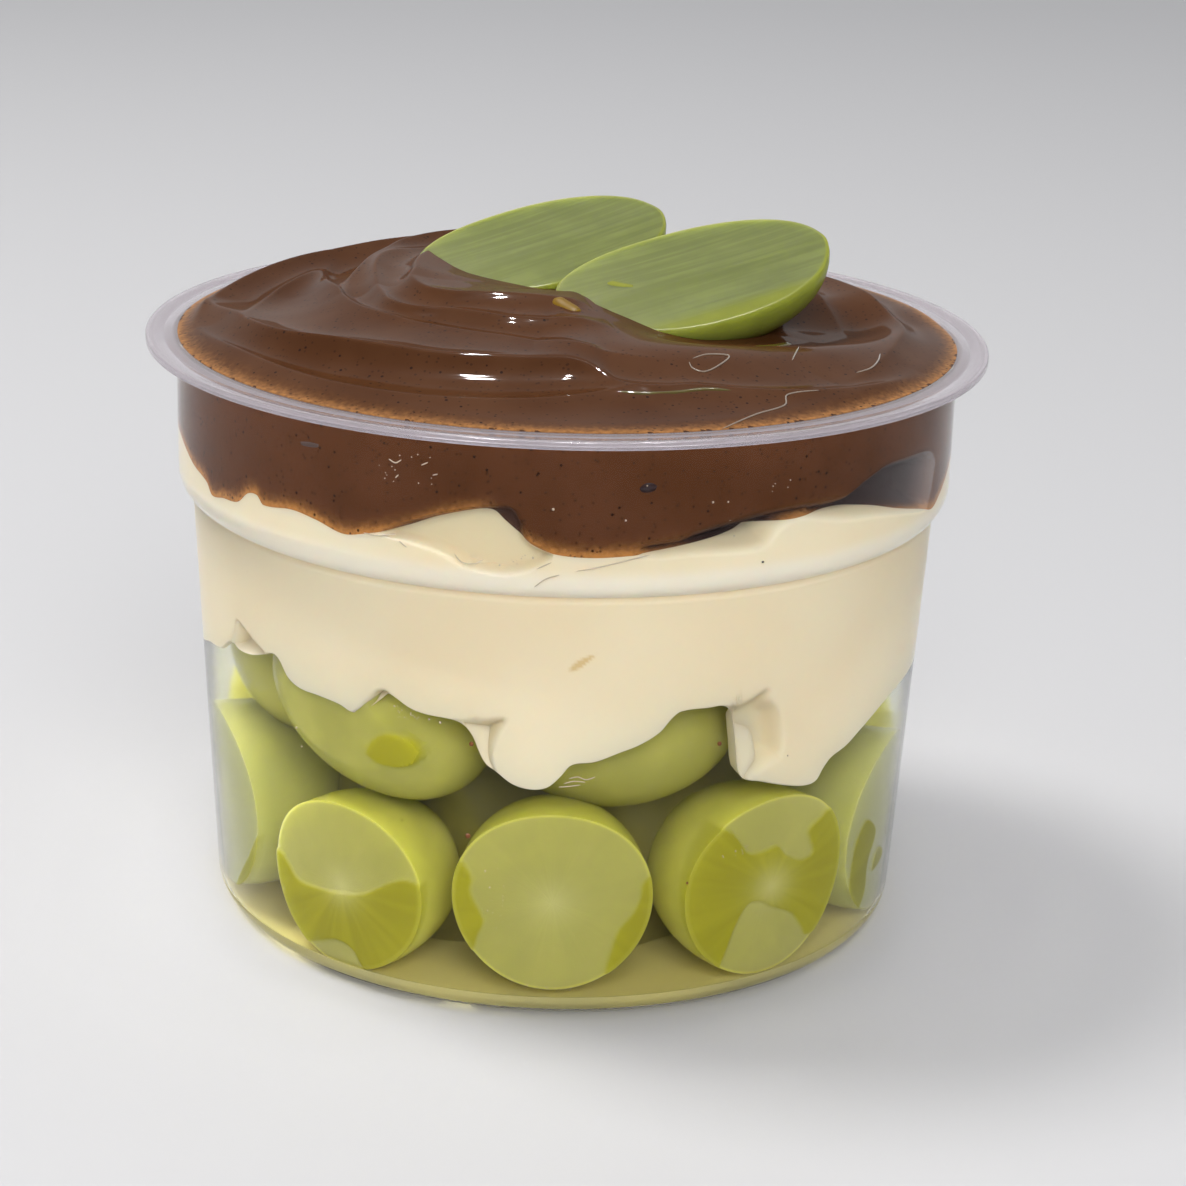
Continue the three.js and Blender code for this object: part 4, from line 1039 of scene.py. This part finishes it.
# Angle of each half, its width, the height of its middle and how far its face leans back
FLOOR_HALVES = [
    (0, 21.0, 13.8, 8), (36.4, 21.3, 13.1, 8), (70, 21.2, 13.4, 6), (106, 20.6, 13.0, 9),
    (142, 21.4, 13.6, 7), (178, 20.8, 13.2, 8), (214, 21.2, 13.5, 10), (250, 20.4, 13.0, 7),
    (289, 21.4, 14.3, 7), (325, 19.8, 11.9, 8),
]
# Wet patches of each half, as outlines on the wall: distance along it from the half's middle, height
WET_PATCHES = {
    0: [
        [
            (-11.5, 19), (-9.7, 18.2), (-8.5, 16.2), (-8.6, 14.5), (-7.4, 12), (-7.2, 10.9),
            (-7.8, 9.4), (-8.6, 7.2), (-11.5, 6)],
        [
            (11.5, 17), (9.6, 16.2), (9.3, 14.4), (8.6, 12.6), (7.1, 10.6), (6.3, 8), (6, 5), (9, 3),
            (12, 8)],
    ],
    36.4: [
        [
            (-9.5, 22), (-6.4, 21.2), (-4.8, 19.7), (-3.4, 17.9), (-1.4, 17.8), (0.4, 18), (1.9, 16.5),
            (4, 15.4), (5.7, 15.6), (5.1, 17.2), (4.7, 18.6), (6.4, 19.7), (8.6, 20.4), (11.8, 18),
            (11.8, 10), (9, 6), (6.2, 5.2), (5, 6.6), (3.2, 8.8), (0.4, 10.2), (-1.6, 11.4),
            (-3.1, 11.2), (-4.4, 9), (-5.6, 5.6), (-6.8, 3.8), (-10, 6), (-12, 12), (-11.5, 18)],
    ],
    325: [
        [
            (-12, 13), (-9.4, 13.2), (-8, 12.2), (-6.2, 10.8), (-2, 11), (0.4, 11.4), (3, 12),
            (6.2, 14), (8.6, 14.8), (10.8, 13.5), (10.6, 8), (8, 3.6), (5, 1.6), (2.6, 2.6), (1.2, 4.4),
            (-1, 4.9), (-4.6, 3.6), (-8.5, 2.2), (-12, 7)],
    ],
    289: [[
        (11, 13.6), (12.4, 13.8), (12.7, 12), (11.8, 8.8), (10.2, 5.6), (7, 3.2), (4.2, 3), (3.8, 4.4),
        (6, 7.2), (8.4, 10)]],
    70: [
        [
            (-7.2, 16.1), (-5.0, 15.3), (-3.2, 13.2), (-4.8, 10), (-4.7, 6.3), (-6.8, 4), (-8.6, 5.2),
            (-9.7, 9), (-9.2, 13.8)],
        [(-1.9, 10.9), (0.4, 9.8), (0.3, 8.5), (-3, 8), (-3.4, 9.4)],
    ],
}
# At the back nothing is known, so the patches of the front come again there, some the other way round
for back, front, way in [(106, 36.4, -1), (142, 0, 1), (178, 325, -1), (214, 36.4, 1), (250, 0, -1)]:
    patches = WET_PATCHES[front]
    WET_PATCHES[back] = [[(way * along, height) for along, height in patch] for patch in patches]


def wet_share(outlines, along, height):
    """1 in the middle of a wet patch, 0 outside, over a narrow border."""
    share = np.zeros(np.broadcast(along, height).shape)
    for outline in outlines:
        share = np.maximum(share, smooth(depth_inside(outline, along, height) / 0.35))
    return share


def along_wall(points, at):
    """How far each point lies from an angle, in millimetres along the wall."""
    angle = np.degrees(np.arctan2(points[..., 0], -points[..., 1]))
    return np.radians(between(angle, at)) * BASE_RADIUS


def push_to_wall(points, share, past):
    """Moves points straight out, by a share of the way to a place past the wall's inner face."""
    radius = np.hypot(points[..., 0], points[..., 1])
    wall = inside_radius(points[..., 2]) + past
    grow = 1 + share * (wall / radius - 1)
    return points * np.stack([grow, grow, np.ones_like(grow)], axis=-1)


def stand_half(at, across, height, lean):
    """Places a half with its cut face to the wall, as far out as the edge of the face can go."""
    shape, share, turn = half_grape(across / 2, across / 2, HALF_DEPTH)
    side = np.array([math.cos(math.radians(at)), math.sin(math.radians(at)), 0])
    outward = np.array([math.sin(math.radians(at)), -math.cos(math.radians(at)), 0])
    tilt = math.radians(lean)
    looks = outward * math.cos(tilt) + np.array([0, 0, math.sin(tilt)])
    up = np.array([0, 0, math.cos(tilt)]) - outward * math.sin(tilt)
    points = (shape[..., :1] * side + shape[..., 1:2] * up + shape[..., 2:] * looks
              + np.array([0, 0, height]))
    room = inside_radius(points[..., 2]) - EDGE_GAP
    out = BASE_RADIUS
    while (np.hypot(*(points + out * outward)[..., :2].T).T > room).any():
        out -= EDGE_GAP
    return points + out * outward, share, turn


def make_floor_half(number, at, across, height, lean):
    points, share, turn = stand_half(at, across, height, lean)
    face = np.clip(share, 0, 1)
    front = share <= ON_RIM
    wet = wet_share(WET_PATCHES[at], along_wall(points, at), points[..., 2]) * front
    bulged = push_to_wall(points, FACE_BULGE * front, -FACE_GAP)
    pushed = push_to_wall(bulged, wet, INTO_WALL)
    rows_back = np.maximum(np.arange(len(share)) - len(share) + BODY_ROWS, 0)[:, None]
    marks = {
        # Painted shade on the two halves at the edges of the view
        "aside": np.full(share.shape, SLANT_SHADE_SHARE * (at in SLANT_SHADED_HALVES)),
        "cut": (share < ON_RIM) * 1.0,
        # Painted glow: 0 on the face and rim, full over the back part of the body
        "deep": smooth(1.6 * rows_back / BODY_ROWS) + 0 * share,
        "wet": wet,
        "rim": rim_share(share),
        "core": np.exp(-((face / 0.2) ** 1.5)) * front * 0.9,
        "ray": np.stack([np.cos(turn), np.sin(turn), face], axis=-1),
    }
    piece = lay_skin(f"cut_grape_{number:02d}", pushed, [cross_cut], pushed[0].mean(axis=0),
                     pushed[-1].mean(axis=0), marks)
    settle(piece, "green_grape", "grape_heap")


for number, half in enumerate(FLOOR_HALVES, 1):
    make_floor_half(number, *half)

# %% [markdown]
# ## Whole grapes
# Above the halves lies a row of whole grapes, long ones tipped this way and that. Each is an ellipsoid
# with slightly blunt ends. The front left one leans on the wall with an oval of juice.

# %% Whole grapes of the upper row
WHOLE_COLUMNS = 150
WHOLE_ROWS = 96
PRESSED_GAP = 0.1
# Angle, distance out and height of each middle, half length, half width, how far it dips and turns
UPPER_GRAPES = [
    (-36, 31.9, 32.0, 14.0, 10.0, 24, 0), (14, 28.6, 31.2, 13.4, 10.2, -4, 6),
    (66, 29.0, 31.0, 13.2, 10.0, 12, -8), (104, 29.4, 31.6, 13.0, 10.0, -14, 10),
    (143, 29.0, 31.2, 13.6, 10.2, 10, -6), (181, 29.2, 31.8, 13.2, 10.0, -8, 8),
    (219, 29.0, 31.0, 13.4, 10.0, 14, -4), (252, 29.2, 31.6, 12.6, 10.0, -12, 6),
    (286, 28.8, 32.4, 12.6, 10.0, 30, 0),
]
JUICE_OVAL_AT = -25
JUICE_OVAL = [
    (-3.3, 29.2), (-1.4, 31.3), (0.8, 31.7), (2.7, 31.1), (3.4, 29.6), (2.1, 28.0), (0, 27.5),
    (-2.4, 27.8),
]


def make_whole_grape(number, at, out, height, half, wide, dip, turn):
    down = np.linspace(0.02, 0.98, WHOLE_ROWS)[:, None] * np.pi
    around = 2 * np.pi * np.arange(WHOLE_COLUMNS)[None] / WHOLE_COLUMNS
    belly = np.sin(down) ** 0.94
    shape = np.stack([half * np.cos(down) + 0 * around, wide * belly * np.cos(around),
                      wide * belly * np.sin(around)], axis=-1)
    tip = Matrix.Rotation(math.radians(at + turn), 3, "Z") @ Matrix.Rotation(math.radians(dip), 3, "Y")
    middle = spots(out, at, height)
    points = shape @ np.array(tip).T + middle
    beyond = np.hypot(points[..., 0], points[..., 1]) > inside_radius(points[..., 2]) - PRESSED_GAP
    points = push_to_wall(points, beyond * 1.0, -PRESSED_GAP)
    outward = (points * np.append(middle[:2], 0)).sum(axis=-1) > (middle[:2] ** 2).sum()
    wet = wet_share([JUICE_OVAL], along_wall(points, JUICE_OVAL_AT), points[..., 2]) * outward
    pushed = push_to_wall(points, wet, INTO_WALL)
    ends = [np.array(tip) @ np.array([side * half, 0, 0]) + middle for side in (1, -1)]
    marks = {"wet": wet, "ray": shape}
    piece = lay_skin(f"whole_grape_{number:02d}", pushed, [whole_skin], *ends, marks)
    settle(piece, "green_grape", "grape_heap")


for number, grape in enumerate(UPPER_GRAPES, 1):
    make_whole_grape(number, *grape)

# %% [markdown]
# ## Core and juice
# Deep between the grapes there are more grapes, all in shadow. A knobbly dark core stands in for them;
# its dark olive is painted shade, darker than a grape's own colour.
# Juice has run down and covers the floor of the cup as a thin clear layer.

# %% Dark core
# Height and radius up the core, how deep its knobs are, how many go round it and their height
CORE = [(1.7, 29), (8, 31), (24, 29), (33, 24), (37, 10)]
KNOB = 1.6
KNOBS_ROUND = 9
KNOB_HEIGHT = 3.2


def core_finish():
    finish = Finish("grapes_in_painted_shade", **{
        "Roughness": 0.4, "Subsurface Weight": 0.3, "Subsurface Scale": 0.003,
        "Subsurface Radius": (0.9, 1.0, 0.3)})
    mottle = finish.cloud(finish.place(), 0.12, 3.0).step(0.3, 0.7)
    # Painted shade: dark olive blotches, darker than a grape in light
    finish.feed(Base_Color=finish.blend(mottle, (0.16, 0.14, 0.03), (0.26, 0.23, 0.045)))
    return finish.material


core_turn = np.arange(0, 360, 4.0)[None]
core_height = np.linspace(CORE[0][0], CORE[-1][0], 30)[::-1, None]
knobs = KNOB * np.sin(np.radians(core_turn * KNOBS_ROUND)) * np.sin(core_height / KNOB_HEIGHT)
core_radius = curve_through(CORE, core_height) - KNOB + knobs
core = lay_skin("grape_core", spots(core_radius, core_turn, core_height), [core_finish()],
                (0, 0, CORE[-1][0]), (0, 0, CORE[0][0]))
settle(core, "green_grape", "grape_heap")

# %% Juice on the floor
JUICE_LEVEL = 2.4
JUICE_ROWS = [JUICE_LEVEL, JUICE_LEVEL + 0.15, 1.9, 1.4, 0.9]
JUICE_INNER_RADIUS = 39.0


def juice_finish():
    finish = Finish("grape_juice", **{"Base Color": (0.96, 0.87, 0.36, 1), "Roughness": 0.08,
                                      "IOR": 1.34, "Transmission Weight": 0.4})
    finish.let_light_through((0.93, 0.89, 0.66))
    return finish.material


juice_turn = np.arange(0, 360, 1.5)[None]
juice_z = np.array(JUICE_ROWS)[:, None]
juice_r = inside_radius(juice_z) + INTO_WALL
juice_r[0] = JUICE_INNER_RADIUS
juice = lay_skin("grape_juice", spots(juice_r, juice_turn, juice_z), [juice_finish()],
                 (0, 0, JUICE_LEVEL), (0, 0, FOOT_HEIGHT + SHEET - 0.2))
settle(juice, "green_grape", "grape_heap")

# %% [markdown]
# ## Grape halves on top
# Two halves, cut lengthwise, are pressed into the chocolate with their cut faces up. The faces show pale
# streaks that run along the grape, and the skin shows only as a bright band under the near edge.

# %% Halves on top
TOP_POWER = 2.25
SINK_START = 0.2
SINK_POWER = 1.3
FACE_DISH = 0.35
SKIN_SHARE = 0.15
SKIN_BLUR = 0.24


def make_top_half(name, node, middle, turn, rise, roll, half, wide, deep, sink):
    shape, share, _ = half_grape(half, wide, deep, TOP_POWER)
    dish = FACE_DISH * (1 - np.clip(share, 0, 1) ** 2) * (share <= ON_RIM)
    near = clamp((-shape[..., 1] / wide - SINK_START) / (1 - SINK_START))
    drop = dish + sink * near**SINK_POWER * (1 + shape[..., 2] / deep)
    shape = shape - np.stack([0 * drop, 0 * drop, drop], axis=-1)
    tip = (Matrix.Rotation(math.radians(turn), 3, "Z") @ Matrix.Rotation(-math.radians(rise), 3, "Y")
           @ Matrix.Rotation(math.radians(roll), 3, "X"))
    points = shape @ np.array(tip).T + np.array(middle)
    marks = {
        # Painted sheen: the face is blended towards the pale grey tint, more towards one end, for the
        # grey wall it mirrors
        "aside": 0.08 + 0.25 * smooth(-shape[..., 0] / half),
        "cut": (share < ON_RIM) * (1 - smooth((near - 1 + SKIN_SHARE * sink) / SKIN_BLUR)),
        "rim": rim_share(share),
        "face": shape,
    }
    piece = lay_skin(name, points, [long_cut], points[0].mean(axis=0), points[-1].mean(axis=0), marks)
    settle(piece, "green_grape", node)


make_top_half("top_half_left", "top_grape_left", **TOP_LEFT)
make_top_half("top_half_right", "top_grape_right", **TOP_RIGHT)

# %% [markdown]
# ## Bubbles, streaks and threads
# Small things make the cup look real: bubbles caught against the wall, fine bright scratches, curls of
# clear juice on the chocolate. The bright bubbles, the scratches and the curls are painted pale: painted
# highlights for the light they catch. Each is a thread: a smooth line with a round section that tapers to
# its ends, and a bubble is just a very short thread. All threads of one kind are joined in one piece.

# %% Threads
THREAD_SIDES = 8
THREAD_STEPS = 9


def thread(path, thick):
    """Points of one thread along a path in millimetres, as rings that taper to both ends."""
    path = np.array(path, float)
    reach = np.append(0, np.cumsum(np.linalg.norm(np.diff(path, axis=0), axis=1)))
    along = np.linspace(0, reach[-1], THREAD_STEPS * (len(path) - 1) + 1)
    middle = np.stack([curve_through(list(zip(reach, path[:, k])), along) for k in range(3)], axis=-1)
    way = np.gradient(middle, axis=0)
    way /= np.linalg.norm(way, axis=1, keepdims=True)
    side = np.cross(way, (0.3, 0.2, 1.0))
    side /= np.linalg.norm(side, axis=1, keepdims=True)
    up = np.cross(side, way)
    power = 2 if len(path) == 2 else 6
    size = thick * np.sqrt(np.maximum(1e-4, 1 - np.abs(2 * along / reach[-1] - 1) ** power))
    turn = 2 * np.pi * np.arange(THREAD_SIDES)[None, :, None] / THREAD_SIDES
    ring = np.cos(turn) * side[:, None] + np.sin(turn) * up[:, None]
    return middle[:, None] + ring * size[:, None, None]


def lay_threads(name, finish, slot, threads):
    """Joins threads, each given as a path and a thickness, in one piece."""
    points, faces = [], []
    for path, thick in threads:
        rings = thread(path, thick)
        start, rows = len(points), len(rings)
        points += rings.reshape(-1, 3).tolist()
        for a in range(start, start + (rows - 1) * THREAD_SIDES, THREAD_SIDES):
            for k in range(THREAD_SIDES):
                j, b = (k + 1) % THREAD_SIDES, a + THREAD_SIDES
                faces.append((a + k, a + j, b + j, b + k))
        last = start + (rows - 1) * THREAD_SIDES
        faces.append(tuple(range(start + THREAD_SIDES - 1, start - 1, -1)))
        faces.append(tuple(range(last, last + THREAD_SIDES)))
    settle(make_piece(name, points, faces, [finish]), slot)


def on_wall(angle, height, out=0.25):
    """A place in the wall's plastic."""
    return spots(inside_radius(np.float64(height)) + out, np.float64(angle), np.float64(height))


ground = BVHTree.FromPolygons([v.co for v in swirl.data.vertices],
                              [p.vertices for p in swirl.data.polygons])


def on_swirl(x, y, lift):
    """A place just over the chocolate, found by a ray that falls on it."""
    place = ground.ray_cast(Vector((x, y, 100)) * MM, Vector((0, 0, -1)))[0]
    return np.array([x, y, place.z / MM + lift])


def bubble(angle, height, size):
    """A bubble in the wall: a thread as long as it is thick."""
    turn, rise = math.degrees(size / INNER_RADIUS), 0.1 * size
    return [on_wall(angle - turn, height - rise), on_wall(angle + turn, height + rise)], size


# %% Bubbles and scratches on the wall
def plain_finish(name, colour, roughness, **more):
    return Finish(name, **{"Base Color": (*colour, 1), "Roughness": roughness, **more}).material


scatter = random.Random(7)
BUBBLES = [
    (-1.3, 58.8, 0.14), (8.3, 57.7, 0.1), (20.2, 59.2, 0.12), (22.4, 59.1, 0.1), (11.0, 61.3, 0.09),
    (23.5, 55.4, 0.09), (-3.8, 53.6, 0.12), (-24.3, 34.9, 0.1), (-18.8, 34.1, 0.12),
    (-17.1, 33.9, 0.14), (-42.9, 29.2, 0.14), (-41.9, 27.2, 0.1), (-9.5, 15.4, 0.1), (-10.2, 17.3, 0.1),
    (-9.8, 12.6, 0.08), (26.5, 18.2, 0.08), (28.7, 18.5, 0.1), (30.5, 18.8, 0.08), (37.0, 28.6, 0.1),
    (-8.2, 52.6, 0.1),
]
# Patches of small bubbles: middle, half width in degrees, half height, how many
PATCHES = [
    (-22.0, 34.4, 2.0, 0.8, 22), (-21.0, 61.8, 4.5, 1.6, 14), (1.0, 3.8, 6.0, 0.3, 16),
    (-6.0, 53.4, 1.2, 0.6, 8), (27.5, 58.2, 5.0, 2.5, 8), (28.5, 18.6, 2.5, 0.8, 8),
    (-8.5, 14.5, 1.2, 4.0, 9),
]
PATCH_SIZES = (0.04, 0.075)
bubbles = [bubble(*place) for place in BUBBLES]
for angle, height, wide, tall, count in PATCHES:
    for _ in range(count):
        aside, rise = scatter.uniform(-wide, wide), scatter.uniform(-tall, tall)
        bubbles.append(bubble(angle + aside, height + rise, scatter.uniform(*PATCH_SIZES)))
# Painted highlights: the bubbles and the scratches are painted a pale tan for the light they catch
bright = plain_finish("bubbles_and_scratches_painted_glints", (0.62, 0.52, 0.38), 0.2)
lay_threads("wall_bubbles", bright, "clear_plastic", bubbles)

# Scratches on the wall, painted pale with the same painted highlight
SCRATCHES = [
    [(0.4, 27.6), (1.8, 27.7), (3.7, 27.9)],
    [(1.2, 28.0), (2.6, 28.3), (4.4, 28.2)],
    [(1.9, 28.6), (3.2, 28.8), (4.4, 28.5), (5.8, 28.8)],
    [(-27.7, 54.2), (-25.3, 54.2), (-22.6, 54.7)],
    [(-22.3, 54.0), (-21.1, 53.4)],
    [(-3.6, 50.4), (-2.0, 51.4), (-0.2, 51.9)],
    [(1.8, 52.3), (5.1, 52.8), (11.8, 54.0)],
    [(-3.3, 52.4), (-1.3, 53.2)],
    [(-14.4, 53.4), (-13.4, 52.6), (-11.8, 52.5), (-10.3, 53.1)],
    [(-23.9, 62.5), (-22.9, 62.2), (-22.0, 62.6)],
    [(-19.2, 62.3), (-18.2, 62.7)],
    [(-17.6, 61.4), (-16.8, 61.6)],
    [(-22.9, 60.6), (-22.4, 61.0)],
]
SCRATCH_SIZE = 0.065
streaks = [([on_wall(a, z) for a, z in path], SCRATCH_SIZE) for path in SCRATCHES]
lay_threads("wall_scratches", bright, "clear_plastic", streaks)

# Painted shade: dark discs in the wall stand for bubbles whose insides lie in shade
dark = plain_finish("bubble_painted_shade", (0.020, 0.008, 0.009), 0.35)
lay_threads("wall_bubbles_in_painted_shade", dark, "chocolate_cream", [
    ([on_wall(9.7, 60.9, -0.28), on_wall(12.7, 61.2, -0.28)], 0.68),
    ([on_wall(27.9, 52.2), on_wall(28.3, 52.2)], 0.12)])
grey = plain_finish("grey_lens_mark", (0.075, 0.045, 0.036), 0.5)
lay_threads("wall_lens_mark", grey, "chocolate_cream", [
    ([on_wall(-39.5, 62.2, -0.22), on_wall(-34, 62.5, -0.22)], 0.5)])
red_brown = plain_finish("brown_specks", (0.22, 0.07, 0.02), 0.5)
SPECKS = [
    (-12.4, 31.9, 0.26), (24.5, 31.6, 0.26), (-12.9, 21.2, 0.3), (-82.8, 25.7, 0.25), (20.8, 15.6, 0.16),
]
lay_threads("wall_specks", red_brown, "green_grape", [bubble(a, z, size) for a, z, size in SPECKS])

# %% Juice on the swirl
# Curls of clear juice on the chocolate, painted pale: painted sheen for the light on them; the last path
# is a painted highlight, a glint along a crest
LOOPS = [
    [
        (13.1, -26.3), (14.7, -24.8), (17.0, -24.2), (16.2, -26.2), (14.3, -28.4), (13.1, -28.1),
        (12.7, -27.0)],
    [(25.6, -11.7), (24.8, -17.6), (23.9, -21.8)],
    [(33.9, -15.7), (33.4, -18.5), (32.4, -20.8), (30.7, -22.4)],
    [(15.7, -41.0), (19.3, -36.8), (22.5, -33.8), (22.8, -31.9), (26.3, -29.9)],
]
# Painted sheen: a pale brown far lighter than the chocolate under the juice
juice_thread_painted_sheen = plain_finish("juice_threads_painted_sheen", (0.25, 0.19, 0.14), 0.1, **{"Coat Weight": 1})
lay_threads("threads_on_the_swirl", juice_thread_painted_sheen, "chocolate_cream",
            [([on_swirl(x, y, 0.02) for x, y in path], 0.1) for path in LOOPS])
JUICE_RUNS = [
    (0.3, [(4.8, -34.6), (8.0, -34.6), (11.3, -33.7), (14.2, -32.8), (17.5, -32.5)]),
    (0.8, [(19.5, -12.5), (22.4, -10.4), (25.0, -7.0)]),
]
olive_juice = plain_finish("olive_juice", (0.085, 0.065, 0.010), 0.1, **{"Coat Weight": 0.1})
lay_threads("juice_on_the_swirl", olive_juice, "green_grape",
            [([on_swirl(x, y, -0.7 * size) for x, y in path], size) for size, path in JUICE_RUNS])
amber = plain_finish("amber_stem_end", (0.19, 0.105, 0.004), 0.5, **{"Specular IOR Level": 0.15})
lay_threads("amber_stem_end", amber, "green_grape", [
    ([on_swirl(-1.7, -10.7, -0.65), on_swirl(-0.2, -12.1, -0.6), on_swirl(1.2, -13.6, -0.7)], 1.0)])
stem_core = plain_finish("yellow_stem_core", (0.22, 0.235, 0.03), 0.8, **{"Specular IOR Level": 0.1})
lay_threads("yellow_stem_core", stem_core, "green_grape",
            [([(4.2, -2.6, 72.55), (5.6, -3.6, 72.45), (7.6, -4.5, 72.35)], 0.75)])
